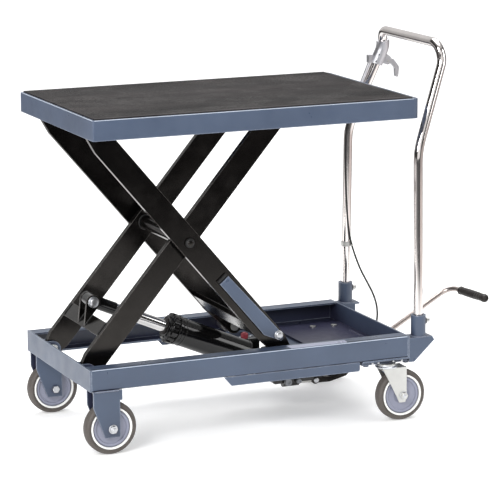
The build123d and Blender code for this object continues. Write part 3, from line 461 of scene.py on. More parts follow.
def add_tread(mesh_data, middle, r, half, inner):
    """The tyre's band: rounded shoulders, two fine grooves and a moulded line on each side wall."""
    profile = [
        (inner, half - 0.0032), (inner + 0.0015, half - 0.0010), (inner + 0.0035, half - 0.0002),
        (r - 0.0094, half), (r - 0.0088, half - 0.0008), (r - 0.0080, half - 0.0008),
        (r - 0.0074, half - 0.0001), (r - 0.0050, half - 0.0009), (r - 0.0022, half - 0.0032),
        (r - 0.0007, half - 0.0062), (r, half - 0.0092),
        (r, 0.0052), (r - 0.0009, 0.0047), (r - 0.0009, 0.0037), (r, 0.0032),
    ]
    add_lathe(mesh_data, mirrored(profile), middle, Y_AXIS, segments=128)


def build_wheels():
    """Tyre, pale ring and dished hub of each wheel."""
    for tyre_node, body in WHEELS.items():
        low, high = box(tyre_node)
        middle = (low + high) / 2
        r = (high.z - low.z) / 2
        half = (high.y - low.y) / 2
        inner = r * RING_OUTER_SHARE
        ring_inner = r * RING_INNER_SHARE
        name = body.replace("wheel_", "")

        tyre = bmesh.new()
        add_tread(tyre, middle, r, half, inner)
        piece = make_piece(f"tread_{name}", tyre, TYRE, body)
        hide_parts(tyre_node)

        ring = bmesh.new()
        flange = [
            (ring_inner, half - 0.0045), (ring_inner, half - 0.0010), (ring_inner + 0.0008, half),
            (inner - 0.0008, half + 0.0003), (inner + 0.0006, half - 0.0002),
            (inner + 0.0006, half - 0.0045),
        ]
        for side in (1, -1):
            add_lathe(ring, [(radius, side * y) for radius, y in flange], middle, Y_AXIS, segments=128)
        piece = make_piece(f"ring_{name}", ring, RING, body)

        disc = bmesh.new()
        boss = half - 0.0002 if "swivel" in name else half + 0.0015
        dish = [
            (0.0064, boss), (0.0105, boss), (0.0118, boss - 0.0012), (0.0124, 0.0112), (0.0175, 0.0098),
            (0.0190, 0.0106), (0.0245, 0.0106), (0.0258, 0.0098), (ring_inner - 0.0090, 0.0098),
            (ring_inner - 0.0078, 0.0122), (ring_inner - 0.0030, 0.0128), (ring_inner - 0.0022, 0.0092),
            (ring_inner + 0.0030, 0.0092), (ring_inner + 0.0030, 0.0),
        ]
        add_lathe(disc, mirrored(dish), middle, Y_AXIS, segments=96)
        piece = make_piece(f"disc_{name}", disc, HUB, body)
        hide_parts(tyre_node.replace("tyre", "hub"))


# ------------------------------------------------------------------ platform mat


def build_mat():
    """A ribbed sheet: low rounded ribs run the length of the platform inside a plain border."""
    low, high = box("rubber_mat")
    border, rim, wanted_pitch = 0.012, 0.0008, 0.0061
    # Outside the ribbed stretch, section points above flat_above are raised to the top.
    groove_z, flat_above = high.z - 0.0011, high.z - 0.0012
    ribbed_width = high.y - low.y - 2 * border
    count = int(ribbed_width / wanted_pitch)
    pitch = ribbed_width / count
    section = [(low.y, low.z), (low.y, high.z - rim), (low.y + rim, high.z)]
    for k in range(count):
        y = low.y + border + k * pitch
        section += [(y, high.z), (y + pitch * 0.16, groove_z), (y + pitch * 0.38, groove_z)]
        section += [(y + pitch * 0.54, high.z), (y + pitch * 0.86, high.z)]
    section += [(high.y - rim, high.z), (high.y, high.z - rim), (high.y, low.z)]
    mesh_data = bmesh.new()
    stations = [low.x, low.x + rim, low.x + border, high.x - border, high.x - rim, high.x]
    rings = []
    for k, x in enumerate(stations):
        ribbed = k in (2, 3)
        end = k in (0, len(stations) - 1)
        ring = []
        for y, z in section:
            flat_z = high.z if z > flat_above and low.y < y < high.y and not ribbed else z
            ring.append(mesh_data.verts.new((x, y, flat_z - (rim if end and z > low.z else 0.0))))
        rings.append(ring)
    for here, after in zip(rings, rings[1:]):
        for k in range(len(section) - 1):
            mesh_data.faces.new((here[k], here[k + 1], after[k + 1], after[k]))
        mesh_data.faces.new((here[-1], here[0], after[0], after[-1]))
    mesh_data.faces.new(rings[0])
    mesh_data.faces.new(rings[-1][::-1])
    piece = make_piece("ribbed_mat", mesh_data, MAT, "platform", smooth_angle=25.0)
    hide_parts("rubber_mat")


# ------------------------------------------------------------------ release cable

CABLE_POINTS = [
    (0.3240, 0.1810, 0.7000), (0.3080, 0.1820, 0.6500), (0.3075, 0.1845, 0.5850), (0.3090, 0.1840, 0.5200),
    (0.3115, 0.1830, 0.4600), (0.3160, 0.1832, 0.4000), (0.3265, 0.1855, 0.3500), (0.3430, 0.1700, 0.2900),
    (0.3585, 0.1570, 0.2550), (0.3700, 0.1430, 0.2240), (0.3720, 0.1270, 0.1950), (0.3620, 0.1070, 0.1650),
    (0.3390, 0.0880, 0.1400), (0.3040, 0.0730, 0.1240), (0.2590, 0.0620, 0.1130), (0.2090, 0.0540, 0.1060),
    (0.1690, 0.0500, 0.1050), (0.1510, 0.0500, 0.1050),
]
CABLE_DIAMETER = 0.0048


def build_cable():
    """The cable's sheath, a smooth curve through the given points."""
    curve = bpy.data.curves.new("control_cable", "CURVE")
    curve.dimensions = "3D"
    curve.bevel_depth = CABLE_DIAMETER / 2
    curve.bevel_resolution = 5
    curve.use_fill_caps = True
    spline = curve.splines.new("NURBS")
    spline.points.add(len(CABLE_POINTS) - 1)
    for point, place in zip(spline.points, CABLE_POINTS):
        point.co = (*place, 1.0)
    spline.order_u = 3
    spline.use_endpoint_u = True
    spline.resolution_u = 12
    curve.materials.append(CABLE)
    piece = bpy.data.objects.new("control_cable", curve)
    bpy.context.scene.collection.objects.link(piece)
    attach(piece, "base")
    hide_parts("release_cable")


# ------------------------------------------------------------------ small hardware

# Radius of the pinhole at the middle of a turned head.
TIP = 0.0002


def add_washer(mesh_data, middle, axis, bore, radius, thickness):
    """A washer that starts at middle and grows along the axis."""
    edge = thickness * 0.3
    profile = [(bore, 0.0), (radius, 0.0), (radius, thickness - edge), (radius - edge, thickness)]
    profile.append((bore, thickness))
    add_lathe(mesh_data, profile, middle, axis, segments=40)


def add_dome(mesh_data, middle, axis, radius, height):
    """A round head with a domed face."""
    profile = [(TIP, 0.0), (radius, 0.0), (radius, height * 0.35), (radius * 0.94, height * 0.6)]
    profile += [(radius * 0.78, height * 0.85), (radius * 0.45, height * 0.97), (TIP, height)]
    add_lathe(mesh_data, profile, middle, axis, segments=40)


def add_socket_head(mesh_data, middle, axis, radius, height):
    """A cap screw's head with a recess in its face."""
    recess = radius * 0.5
    profile = [
        (TIP, 0.0), (radius, 0.0), (radius, height - 0.0006), (radius - 0.0006, height),
        (recess, height), (recess * 0.9, height * 0.45), (TIP, height * 0.45),
    ]
    add_lathe(mesh_data, profile, middle, axis, segments=32)


def add_circlip(mesh_data, middle, axis, pin_radius):
    """A spring ring in a pin's groove, open over a sixth of its turn."""
    steps, wire_radius = 26, 0.0011
    turns = [radians(30.0) + radians(300.0) * k / steps for k in range(steps + 1)]
    points = circle_points(middle, axis, pin_radius + 0.0012, turns)
    add_tube(mesh_data, points, [wire_radius] * len(points), sides=8)


def mirror_y(point):
    return Vector((point[0], -point[1], point[2]))


def both(function, mesh_data, middle, axis, **sizes):
    """Adds the same thing on the near and the far side."""
    function(mesh_data, Vector(middle), Vector(axis), **sizes)
    function(mesh_data, mirror_y(middle), mirror_y(axis), **sizes)


def clip_distances(arm, pins):
    """How far from the middle plane the spring rings sit, on each side of an arm at its hinge pin."""
    low, high = box(arm)
    middle = (low.y + high.y) / 2
    reach = box(pins)[1].y - CLIP_INSET - middle
    return middle - reach, middle + reach


# The handle's legs stand here, each side of the middle plane.
FOOT_X = 0.318
FOOT_Y = 0.202
CLIP_INSET = 0.0004
ROLLER_WIDTH = 0.018
FACE_GAP = 0.0002


def build_arm_hardware():
    """Washers and spring rings on the pins that turn with the inner arms."""
    clevis, roller = joint_point("rod_swing"), joint_point("upper_roller_spin")
    ear_face, pin_end = box("clevis_bracket")[1].y, -box("clevis_pin")[0].y
    roller_inside = box("upper_rollers")[1].y - ROLLER_WIDTH
    pins = bmesh.new()
    washer_at = clevis + NEAR * (ear_face + FACE_GAP)
    both(add_washer, pins, washer_at, NEAR, bore=0.0081, radius=0.0135, thickness=0.0015)
    add_dome(pins, clevis + NEAR * (pin_end - FACE_GAP), NEAR, radius=0.0098, height=0.0022)
    both(add_circlip, pins, roller + NEAR * (roller_inside - CLIP_INSET), NEAR, pin_radius=0.0079)
    make_piece("clevis_washers", pins, BRIGHT_ZINC, "inner_arms")


def build_hinge_hardware():
    """Spring rings on the hinge pins, and the fixed axles' heads and washers."""
    hinge, upper, wheel = joint_point("lift"), joint_point("platform_tilt"), joint_point("roll_fixed_near")
    pins = bmesh.new()
    for y in clip_distances("inner_arm_far", "base_hinge_pins"):
        both(add_circlip, pins, hinge + NEAR * y, NEAR, pin_radius=0.0105)
    axle_end = box("fixed_axles")[0].y
    both(add_dome, pins, (wheel.x, axle_end + 0.0004, wheel.z), NEAR, radius=0.0052, height=0.0022)
    washer_at = (wheel.x, axle_end + 0.0070, wheel.z)
    both(add_washer, pins, washer_at, NEAR, bore=0.0082, radius=0.0108, thickness=0.0012)
    make_piece("base_pin_clips", pins, BRIGHT_ZINC, "base")

    pins = bmesh.new()
    for y in clip_distances("outer_arm_far", "platform_hinge_pins"):
        both(add_circlip, pins, upper + NEAR * y, NEAR, pin_radius=0.0105)
    make_piece("platform_pin_clips", pins, BRIGHT_ZINC, "platform")


def build_outer_arm_hardware():
    """Heads of the centre bolts and the strut's bolt, and the lower rollers' spring rings."""
    mid, roller = joint_point("arm_cross"), joint_point("lower_roller_spin")
    strut = joint_point("strut_swing")
    bolt_end, pin_end = box("centre_bolts")[1].y, box("lower_roller_pins")[1].y
    bolts = bmesh.new()
    both(add_dome, bolts, mid + NEAR * (bolt_end - 0.0010), NEAR, radius=0.0072, height=0.0030)
    both(add_circlip, bolts, roller + NEAR * (pin_end + 0.0005), NEAR, pin_radius=0.0095)
    make_piece("centre_bolt_heads", bolts, BLACK, "outer_arms")

    bolts = bmesh.new()
    head = box("strut_bolt")[0].y
    add_dome(bolts, (strut.x, head + FACE_GAP, strut.z), NEAR, radius=0.0086, height=0.0026)
    washer_at = (strut.x, head + 0.0060, strut.z)
    add_washer(bolts, washer_at, NEAR, bore=0.0070, radius=0.0112, thickness=0.0012)
    make_piece("strut_bolt_head", bolts, BRIGHT_ZINC, "outer_arms")


def build_caster_hardware():
    """Each swivel fork's axle heads, washers and the plated race under its mounting plate."""
    race_z = 0.1330
    race = [
        (0.0205, 0.0), (0.0262, 0.0), (0.0275, 0.0012), (0.0275, 0.0028), (0.0250, 0.0044),
        (0.0235, 0.0050), (0.0235, 0.0072), (0.0205, 0.0072),
    ]
    for side in ("near", "far"):
        wheel, swivel = joint_point(f"roll_swivel_{side}"), joint_point(f"swivel_{side}")
        low, high = box(f"swivel_fork_{side}")
        gear = bmesh.new()
        for axis, face in ((NEAR, low.y), (-NEAR, high.y)):
            end = Vector((wheel.x, face, wheel.z))
            add_dome(gear, end - axis * 0.0004, axis, radius=0.0052, height=0.0020)
            add_washer(gear, end - axis * 0.0072, axis, bore=0.0078, radius=0.0106, thickness=0.0014)
        add_lathe(gear, race, (swivel.x, swivel.y, race_z), Z_AXIS, segments=64)
        make_piece(f"caster_race_{side}", gear, BRIGHT_ZINC, f"fork_{side}")


def build_socket_screws():
    """The cap screws that clamp the handle's legs in their sockets."""
    screws = bmesh.new()
    screw_z = box("handle_brackets")[1].z - 0.016
    socket_face = FOOT_X + 0.0255
    outward = Vector((1, 0, 0))
    for y in (-FOOT_Y, FOOT_Y):
        start = Vector((socket_face, y, screw_z))
        add_washer(screws, start - outward * 0.0070, outward, bore=0.0042, radius=0.0092, thickness=0.0013)
        add_socket_head(screws, start, outward, radius=0.0066, height=0.0028)
    make_piece("socket_screws", screws, BRIGHT_ZINC, "base")


def build_gland():
    """A slotted round nut with a rounded nose and a plain collar behind it, on the barrel's mouth."""
    axis = Vector(JOINTS["cylinder_stroke"]["axis"]).normalized()
    start, length, radius, bore = 0.206, 0.035, 0.0368, 0.0152
    place = joint_point("rod_swing") + axis * start
    nut = bmesh.new()
    nose = [
        (bore, 0.0020), (bore + 0.0040, 0.0), (radius - 0.0110, 0.0), (radius - 0.0070, 0.0022),
        (radius - 0.0060, 0.0070), (bore, 0.0070),
    ]
    add_lathe(nut, nose, place, axis, segments=96)
    collar = [
        (0.0270, 0.0250), (radius - 0.0030, 0.0250), (radius - 0.0008, 0.0262), (radius - 0.0008, 0.0330),
        (radius - 0.0022, length), (0.0270, length),
    ]
    add_lathe(nut, collar, place, axis, segments=96)
    teeth = notched_outline(radius, notches=14, points_each=6, low_points=2, depth=0.0042)
    add_prism(nut, teeth, place + axis * 0.0068, axis, depth=0.0170, chamfer=0.0016)
    piece = make_piece("slotted_gland", nut, BLACK_CAST, "barrel", smooth_angle=28.0)
    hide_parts("gland_nut")

    seal = bmesh.new()
    ring = [(0.0146, -0.0018), (0.0168, -0.0024), (0.0196, -0.0012), (0.0196, 0.0012), (0.0146, 0.0012)]
    add_lathe(seal, ring, place, axis, segments=64)
    make_piece("wiper_seal", seal, GRIP, "barrel")


def build_barrel_bands():
    """A thin raised band near each end of the barrel."""
    axis = Vector(JOINTS["cylinder_stroke"]["axis"]).normalized()
    gland_end, r, width = 0.206, 0.0343, 0.0030
    ring = [(r - 0.0010, 0.0), (r + 0.0007, 0.0), (r + 0.0007, width), (r - 0.0010, width)]
    band = bmesh.new()
    for distance in (0.0432, 0.2230):
        add_lathe(band, ring, joint_point("rod_swing") + axis * (gland_end + distance), axis, segments=96)
    make_piece("barrel_bands", band, BLACK_CAST, "barrel")


def build_grip():
    """A ribbed rubber grip with a flange at its inner end and a ring recess in its face."""
    low, high = box("pedal_grip")
    radius = (high.z - low.z) / 2
    z = (high.z + low.z) / 2
    end = Vector((0.5273, -0.1480, z))
    start = Vector((0.51554, -0.04736, z))
    along = (end - start).normalized()
    length = (end - start).length
    profile = [(0.0061, 0.0), (radius * 0.93, 0.0), (radius, 0.0012), (radius, 0.0042)]
    profile.append((radius * 0.86, 0.0062))
    first, pitch, ribs = 0.0080, 0.0088, 10
    for k in range(ribs):
        base = first + k * pitch
        swell = 0.90 + 0.08 * sin(pi * (k + 0.5) / ribs)
        profile += [(radius * swell, base), (radius * swell, base + pitch * 0.68)]
        valley = radius * (swell - 0.07)
        profile += [(valley, base + pitch * 0.76), (valley, base + pitch * 0.92)]
    tail = first + ribs * pitch
    profile += [
        (radius * 0.98, tail), (radius, tail + 0.0030),
        (radius, length - 0.0010), (radius * 0.94, length + 0.0040),
        (radius * 0.74, length + 0.0072), (radius * 0.52, length + 0.0078),
        (radius * 0.46, length + 0.0052),
        (radius * 0.20, length + 0.0050), (0.0001, length + 0.0050),
    ]
    grip = bmesh.new()
    add_lathe(grip, profile, start, along, segments=72)
    piece = make_piece("ribbed_grip", grip, GRIP, "pedal", smooth_angle=40.0)
    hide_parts("pedal_grip")


def build_filler_plug():
    """A knurled cap on a thin seal."""
    low, high = box("filler_plug")
    foot = Vector(((low.x + high.x) / 2, (low.y + high.y) / 2, low.z))
    radius = (high.x - low.x) / 2
    height = high.z - low.z
    knurl = notched_outline(radius, notches=20, points_each=4, low_points=1, depth=0.0007)
    cap = bmesh.new()
    lift, depth = Z_AXIS * 0.0012, height - 0.0042
    add_prism(cap, knurl, foot + lift, Z_AXIS, depth, chamfer=0.0008, x_dir=(1, 0, 0))
    add_dome(cap, foot + Z_AXIS * (height - 0.0034), Z_AXIS, radius=radius * 0.66, height=0.0034)
    add_washer(cap, foot, Z_AXIS, bore=0.0040, radius=radius * 0.98, thickness=0.0013)
    piece = make_piece("knurled_plug", cap, RED, "base")
    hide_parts("filler_plug")


def build_cable_ends():
    """Plated ferrules where the cable leaves the release housing and where it meets its stop."""
    points = [Vector(p) for p in CABLE_POINTS]
    ends = bmesh.new()
    for tip, inward, length in ((points[0], points[1], 0.012), (points[-1], points[-2], 0.016)):
        axis = (inward - tip).normalized()
        r = CABLE_DIAMETER / 2
        profile = [
            (r + 0.0001, -0.001), (r + 0.0020, -0.001), (r + 0.0020, length * 0.35),
            (r + 0.0013, length * 0.42), (r + 0.0013, length * 0.9), (r + 0.0008, length),
            (r + 0.0001, length),
        ]
        add_lathe(ends, profile, tip, axis, segments=32)
    make_piece("cable_ferrules", ends, BRIGHT_ZINC, "base")


# ------------------------------------------------------------------ weld beads


def build_base_welds():
    """Beads under the fork plates and pump skirts, up the hinge lugs, and round the handle's sockets."""
    seam_z = box("base_rail_near")[0].z
    fork_low, fork_high = box("fixed_forks")
    panel_face = box("base_end_panel")[0].x + 0.0048
    rear_face = box("base_rear_panel")[1].x + 0.0008
    skirt_x = box("pump_skirts")[0].x
    # Each hinge lug's two faces, as distance from the middle plane and the side its bead lies on.
    lug_faces = ((0.107, -1), (0.113, 1), (0.131, -1), (0.137, 1))
    skirt_beads, first, pitch, length = 5, 0.030, 0.072, 0.028
    blue = bmesh.new()
    for sign in (-1, 1):
        y, z = sign * (abs(fork_low.y) + 0.0006), seam_z - 0.0008
        add_weld(blue, (fork_low.x + 0.004, y, z), (fork_high.x - 0.010, y, z), radius=0.0020)
        for lug_y, side in lug_faces:
            y = sign * (lug_y + side * 0.0008)
            add_weld(blue, (panel_face, y, 0.162), (panel_face, y, 0.198), radius=0.0018)
        y = sign * 0.2132
        add_weld(blue, (rear_face, y, 0.157), (rear_face, y, 0.194), radius=0.0018)
        add_ring_weld(blue, (FOOT_X, sign * FOOT_Y, 0.2004), Z_AXIS, ring_radius=0.0184, radius=0.0018)
        y, z = sign * 0.2166, seam_z - 0.0006
        for k in range(skirt_beads):
            x = skirt_x + first + k * pitch
            add_weld(blue, (x, y, z), (x + length, y, z), radius=0.0018)
    make_piece("base_welds", blue, WELD_BLUE, "base")


def build_arm_welds():
    """Beads that hold the clevis bracket and its ears, and round the centre tube."""
    hinge, mid = joint_point("lift"), joint_point("arm_cross")
    along = (mid - hinge).normalized()
    normal = Vector((-along.z, 0, along.x))
    black = bmesh.new()

    def bead(first, last, off, y, radius):
        """A bead beside the arm's line, from one distance along it to another."""
        start, end = hinge + along * first + normal * off, hinge + along * last + normal * off
        add_weld(black, (start.x, y, start.z), (end.x, y, end.z), radius)

    for sign in (-1, 1):
        for off in (0.0286, 0.0194):
            bead(0.083, 0.1155, off, sign * 0.1144, radius=0.0019)
        for ear in (0.0174, 0.0246):
            bead(0.087, 0.115, 0.0286, sign * ear, radius=0.0017)
        tube_end = mid + Vector((0, sign * 0.1142, 0))
        add_ring_weld(black, tube_end, Y_AXIS, ring_radius=0.0176, radius=0.0018)
    make_piece("inner_arm_welds", black, WELD_BLACK, "inner_arms")


def build_caster_bolts():
    """Bolt heads along the edge of each caster's mounting plate."""
    plate_y, plate_z = 0.2136, 0.1465
    bolts = bmesh.new()
    for sign in (-1, 1):
        for x in (0.190, 0.206, 0.245, 0.268):
            add_dome(bolts, (x, sign * plate_y, plate_z), (0, sign, 0), radius=0.0030, height=0.0026)
    make_piece("caster_plate_rivets", bolts, BRIGHT_ZINC, "base")


def build_flange_light():
    """A pale strip of painted light on the near rail's top flange, beside the rollers' run, where the
    flange is lit.
    """
    rail_top = box("base_rail_near")[1].z
    outline = [(-0.024, -0.2155), (0.120, -0.2155), (0.124, -0.2110), (0.124, -0.1940), (-0.024, -0.1890)]
    strip = bmesh.new()
    place = (0, 0, rail_top - FACE_GAP)
    add_prism(strip, outline, place, Z_AXIS, depth=0.0010, chamfer=0.0003, x_dir=(1, 0, 0))
    make_piece("flange_light_strip", strip, LIT_FLANGE_PAINT, "base")


def add_edge(mesh_data, start, end, bead):
    """A thin straight line of even thickness."""
    add_tube(mesh_data, [Vector(start), Vector(end)], [bead, bead], sides=8)


def build_rail_edges():
    """Painted highlight lines along the rails' rounded folds, and a strip of painted shadow beside each."""
    low, high = box("base_rail_near")
    fold, bead, sunk, end_gap = 0.0045, 0.0014, 0.0008, 0.002
    reach = fold - (fold - sunk) * sqrt(0.5)
    start, end = low.x + end_gap, high.x - end_gap
    edges = bmesh.new()
    for sign in (-1, 1):
        y, z = sign * (abs(low.y) - reach), high.z - reach
        add_edge(edges, (start, y, z), (end, y, z), bead)
    make_piece("rail_edge_highlights", edges, EDGE_HIGHLIGHT, "base")

    # Painted shadow: a thin dark strip on each top flange beside the fold.
    fold_shadows = bmesh.new()
    width, from_face = 0.0030, 0.0052
    outline = [(start, 0.0), (end, 0.0), (end, width), (start, width)]
    for y in (low.y + from_face, -low.y - from_face - width):
        place = (0, y, high.z - FACE_GAP)
        add_prism(fold_shadows, outline, place, Z_AXIS, depth=0.0006, chamfer=0.0002, x_dir=(1, 0, 0))
    make_piece("rail_fold_shadows", fold_shadows, FOLD_SHADE, "base")


def build_platform_edges():
    """The same painted highlight lines along the platform's near, far and left edges."""
    low, high = box("platform_pan")
    fold, bead, sunk, end_gap = 0.0020, 0.0009, 0.0005, 0.004
    reach = fold - (fold - sunk) * sqrt(0.5)
    z = high.z - reach
    edges = bmesh.new()
    for sign in (-1, 1):
        y = sign * (abs(low.y) - reach)
        add_edge(edges, (low.x + end_gap, y, z), (high.x - 0.016, y, z), bead)
    x = low.x + reach
    add_edge(edges, (x, low.y + end_gap, z), (x, high.y - end_gap, z), bead)
    make_piece("platform_edge_highlights", edges, EDGE_HIGHLIGHT, "platform")


def build_prop_bar():
    """The safety strut: a flat bar a little narrower at its free end, and a black pad beside it, painted
    shadow for the dark gap at that end.
    """
    hinge, mid = joint_point("platform_tilt"), joint_point("arm_cross")
    along = (mid - hinge).normalized()
    bolt = joint_point("strut_swing") - hinge
    s, n = along.dot(bolt), Vector((-along.z, 0, along.x)).dot(bolt)
    free_end, low, high = s - 0.200, n - 0.026, n + 0.0015
    outline = [
        (free_end, low), (s - 0.026, low), (s + 0.016, n - 0.004), (s + 0.014, n + 0.004),
        (s, n + 0.009), (free_end, high),
    ]
    strut_low, strut_high = box("safety_strut")
    inner_face = Vector((hinge.x, strut_high.y, hinge.z))
    bar = bmesh.new()
    add_prism(bar, outline, inner_face, NEAR, depth=strut_high.y - strut_low.y, chamfer=0.0006, x_dir=along)
    piece = make_piece("prop_bar", bar, BLUE, "safety_strut")
    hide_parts("safety_strut")

    # Painted shadow: a black pad where the gap at the strut's free end lies in shade.
    pad_start, pad_end = free_end - 0.0090, free_end - 0.0025
    outline = [(pad_start, low), (pad_end, low), (pad_end, high), (pad_start, high)]
    pad = bmesh.new()
    add_prism(pad, outline, inner_face - NEAR * 0.0022, NEAR, depth=0.0062, chamfer=0.0005, x_dir=along)
    make_piece("prop_pad", pad, DARK_SLOT, "outer_arms")


def build_housing_screws():
    """Two screw heads on each side of the release housing, each with a dark dome as painted shade in its
    slot.
    """
    # The far leg's two bends, between which the housing is clamped.
    knee, shoulder = Vector((0.319, 0.191, 0.648)), Vector((0.399, 0.157, 0.856))
    along = (shoulder - knee).normalized()
    sleeve_radius = 0.0156
    heads, slots = bmesh.new(), bmesh.new()
    for outward in (Vector((-0.474, -0.875, 0.039)), Vector((-0.30, 0.95, 0.0))):
        outward = (outward - along * outward.dot(along)).normalized()
        for height in (0.818, 0.834):
            face = knee + along * ((height - knee.z) / along.z) + outward * sleeve_radius
            add_washer(heads, face, outward, bore=0.0016, radius=0.0036, thickness=0.0011)
            # Painted shade: a dark dome stands in for the shaded slot in each head.
            add_dome(slots, face, outward, radius=0.0017, height=0.0007)
    make_piece("housing_screws", heads, SILVER_CAST, "base")
    make_piece("housing_screw_slot_shade", slots, DARK_SLOT, "base")


def build_pump_fittings():
    """Plated caps on the pump's side plugs and a bolt head on the pedal's crank."""
    body_face, plug_z = box("pump_body")[0].y, 0.076
    caps = bmesh.new()
    for x, r in ((0.046, 0.0088), (0.0745, 0.0060)):
        add_socket_head(caps, (x, body_face + FACE_GAP, plug_z), NEAR, radius=r, height=0.0034)
        washer_at = (x, body_face + 0.0030, plug_z)
        add_washer(caps, washer_at, NEAR, bore=r * 0.9, radius=r * 1.12, thickness=0.0014)
    make_piece("pump_caps", caps, DULL_STEEL, "base")
    bolt = bmesh.new()
    crank_face = -box("pedal_arm")[0].y
    both(add_dome, bolt, (0.136, -crank_face + 0.0001, 0.064), NEAR, radius=0.0066, height=0.0024)
    make_piece("crank_bolt", bolt, BRIGHT_ZINC, "pedal")


# ------------------------------------------------------------------ camera, light and stage


def build_camera():
    """The view from in front and to the left of the table, a little above it."""
    yaw, pitch, roll = radians(23.3), radians(11.78), radians(-0.28)
    place = Vector((-2.4802, -5.5945, 1.6689))
    forward = Vector((sin(yaw) * cos(pitch), cos(yaw) * cos(pitch), -sin(pitch)))
    level = Vector((cos(yaw), -sin(yaw), 0.0))
    upright = level.cross(forward)
    right = level * cos(roll) + upright * sin(roll)
    up = right.cross(forward)
    data = bpy.data.cameras.new("camera")
    data.sensor_width = 36.0
    data.lens = 186.4
    data.shift_x = 0.0277
    data.shift_y = 0.0057
    data.clip_end = 60.0
    camera = bpy.data.objects.new("camera", data)
    turn = Matrix((right, up, -forward)).transposed()
    camera.matrix_world = Matrix.Translation(place) @ turn.to_4x4()
    bpy.context.scene.collection.objects.link(camera)
    bpy.context.scene.camera = camera


def build_light(name, place, target, size, energy):
    data = bpy.data.lights.new(name, "AREA")
    data.shape = "RECTANGLE"
    data.size, data.size_y = size
    data.energy = energy
    light = bpy.data.objects.new(name, data)
    light.location = place
    light.rotation_mode = "QUATERNION"
    light.rotation_quaternion = (Vector(target) - Vector(place)).to_track_quat("-Z", "Y")
    bpy.context.scene.collection.objects.link(light)


def glossy_ray(tree):
    return tree.nodes.new("ShaderNodeLightPath").outputs["Is Glossy Ray"]


# What shiny surfaces see of the floor beyond its pale middle: dark, with a warm and a pale band.
FLOOR_NEAR_EDGE = 1.3
FLOOR_FAR_EDGE = 2.4
FLOOR_SIDEWAYS = (0.918, -0.395, 0.0)
FLOOR_DARK = (0.03, 0.03, 0.032)
FLOOR_RIGHT = (0.50, 0.44, 0.42)
FLOOR_LEFT = (0.62, 0.60, 0.60)


def build_floor():
    """A pale, faintly glowing floor; what shiny surfaces see of it fades out a few metres away."""
    floor = bmesh.new()
    bmesh.ops.create_grid(floor, x_segments=8, y_segments=8, size=24.0)
    mesh = bpy.data.meshes.new("floor")
    floor.to_mesh(mesh)
    floor.free()
    shader = Shader("pale_floor")
    length = shader.node("ShaderNodeVectorMath", operation="LENGTH")
    shader.link(shader.place, length.inputs[0])
    away = shader.ramp(length.outputs["Value"], FLOOR_NEAR_EDGE, FLOOR_FAR_EDGE)
    towards = shader.node("ShaderNodeVectorMath", operation="NORMALIZE")
    shader.link(shader.place, towards.inputs[0])
    sideways = shader.node("ShaderNodeVectorMath", operation="DOT_PRODUCT")
    sideways.inputs[1].default_value = FLOOR_SIDEWAYS
    shader.link(towards.outputs["Vector"], sideways.inputs[0])
    beyond = shader.mix(shader.ramp(sideways.outputs["Value"], 0.72, 0.84), FLOOR_DARK, FLOOR_RIGHT)
    beyond = shader.mix(shader.ramp(sideways.outputs["Value"], -0.66, -0.80), beyond, FLOOR_LEFT)
    fade = shader.multiply(away, glossy_ray(shader.tree))
    tone = shader.mix(shader.ramp(shader.noise(1.5), 0.3, 0.7), (0.86, 0.86, 0.86), (0.9, 0.9, 0.9))
    shader.set(
        colour=shader.mix(fade, tone, beyond),
        roughness=shader.ramp(shader.noise(9.0), 0.3, 0.7, 0.75, 0.9),
    )
    shader.bsdf.inputs["Emission Color"].default_value = (1.0, 1.0, 1.0, 1.0)
    glow = shader.multiply(shader.ramp(away, 0.0, 1.0, 0.26, 0.46), shader.ramp(fade, 0.0, 1.0, 1.0, 0.0))
    shader.link(glow, shader.bsdf.inputs["Emission Strength"])
    mesh.materials.append(shader.material)
    stage = bpy.data.objects.new("floor", mesh)
    bpy.context.scene.collection.objects.link(stage)


# The dark studio that shiny surfaces see, and the even pale room that everything else sees.
FRONT = (-0.395, -0.918, 0.0)
ROOM_LEVEL = 0.72
DARKEST_LEVEL = 0.045
FRONT_PANEL = (0.80, 0.92, 0.95)
BACKDROP = (-0.45, -0.75, 0.72)
CEILING = (0.5, 0.75, 0.58)
OVERHEAD_BOX = (0.85, 0.93, 3.5)


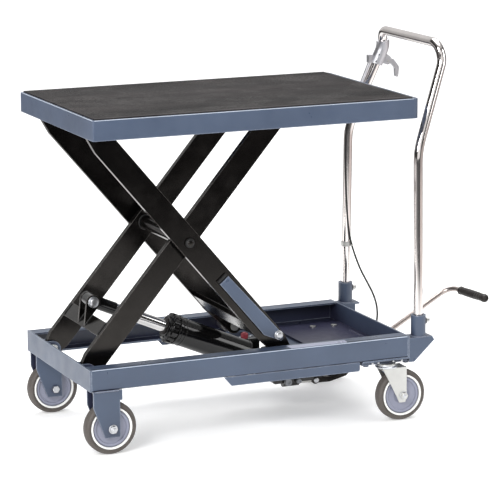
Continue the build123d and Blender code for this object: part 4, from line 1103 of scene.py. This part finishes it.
def build_world():
    """The room; a panel is given by where it starts, where it is full and how bright it is."""
    world = bpy.data.worlds.new("studio")
    bpy.context.scene.world = world
    world.use_nodes = True
    tree = world.node_tree
    nodes, link = tree.nodes, tree.links.new
    place = nodes.new("ShaderNodeTexCoord").outputs["Generated"]
    dot = nodes.new("ShaderNodeVectorMath")
    dot.operation = "DOT_PRODUCT"
    dot.inputs[1].default_value = FRONT
    link(place, dot.inputs[0])
    split = nodes.new("ShaderNodeSeparateXYZ")
    link(place, split.inputs[0])

    def panel(source, low, high, value):
        made = nodes.new("ShaderNodeMapRange")
        made.interpolation_type = "SMOOTHSTEP"
        made.inputs["From Min"].default_value = low
        made.inputs["From Max"].default_value = high
        made.inputs["To Max"].default_value = value
        link(source, made.inputs["Value"])
        return made.outputs["Result"]

    def brighter(first, second):
        made = nodes.new("ShaderNodeMath")
        made.operation = "MAXIMUM"
        for socket, value in zip(made.inputs, (first, second)):
            if isinstance(value, float):
                socket.default_value = value
            else:
                link(value, socket)
        return made.outputs[0]

    facing, height = dot.outputs["Value"], split.outputs["Z"]
    seen = brighter(panel(facing, *FRONT_PANEL), panel(facing, *BACKDROP))
    seen = brighter(seen, panel(height, *CEILING))
    seen = brighter(seen, panel(height, *OVERHEAD_BOX))
    seen = brighter(seen, DARKEST_LEVEL)
    choose = nodes.new("ShaderNodeMix")
    choose.inputs["A"].default_value = ROOM_LEVEL
    link(glossy_ray(tree), choose.inputs["Factor"])
    link(seen, choose.inputs["B"])
    background = nodes["Background"]
    background.inputs["Color"].default_value = (1.0, 1.0, 1.0, 1.0)
    link(choose.outputs["Result"], background.inputs["Strength"])


def build_stage():
    build_floor()
    build_world()
    build_light("key", place=(-3.4, -2.8, 2.6), target=(0.0, 0.0, 0.45), size=(2.0, 2.0), energy=175.0)
    build_light("fill", place=(3.4, -2.6, 1.9), target=(0.0, 0.0, 0.5), size=(1.6, 2.4), energy=45.0)
    build_light("top", place=(0.6, 1.2, 3.8), target=(0.0, 0.0, 0.4), size=(3.0, 2.4), energy=110.0)
    bpy.context.scene.view_settings.view_transform = "Standard"


build_camera()
build_stage()
dress_cad_nodes()
build_wheels()
build_mat()
build_cable()
build_arm_hardware()
build_hinge_hardware()
build_outer_arm_hardware()
build_caster_hardware()
build_socket_screws()
build_gland()
build_barrel_bands()
build_grip()
build_filler_plug()
build_cable_ends()
build_base_welds()
build_arm_welds()
build_caster_bolts()
build_pump_fittings()
build_flange_light()
build_rail_edges()
build_platform_edges()
build_prop_bar()
build_housing_screws()
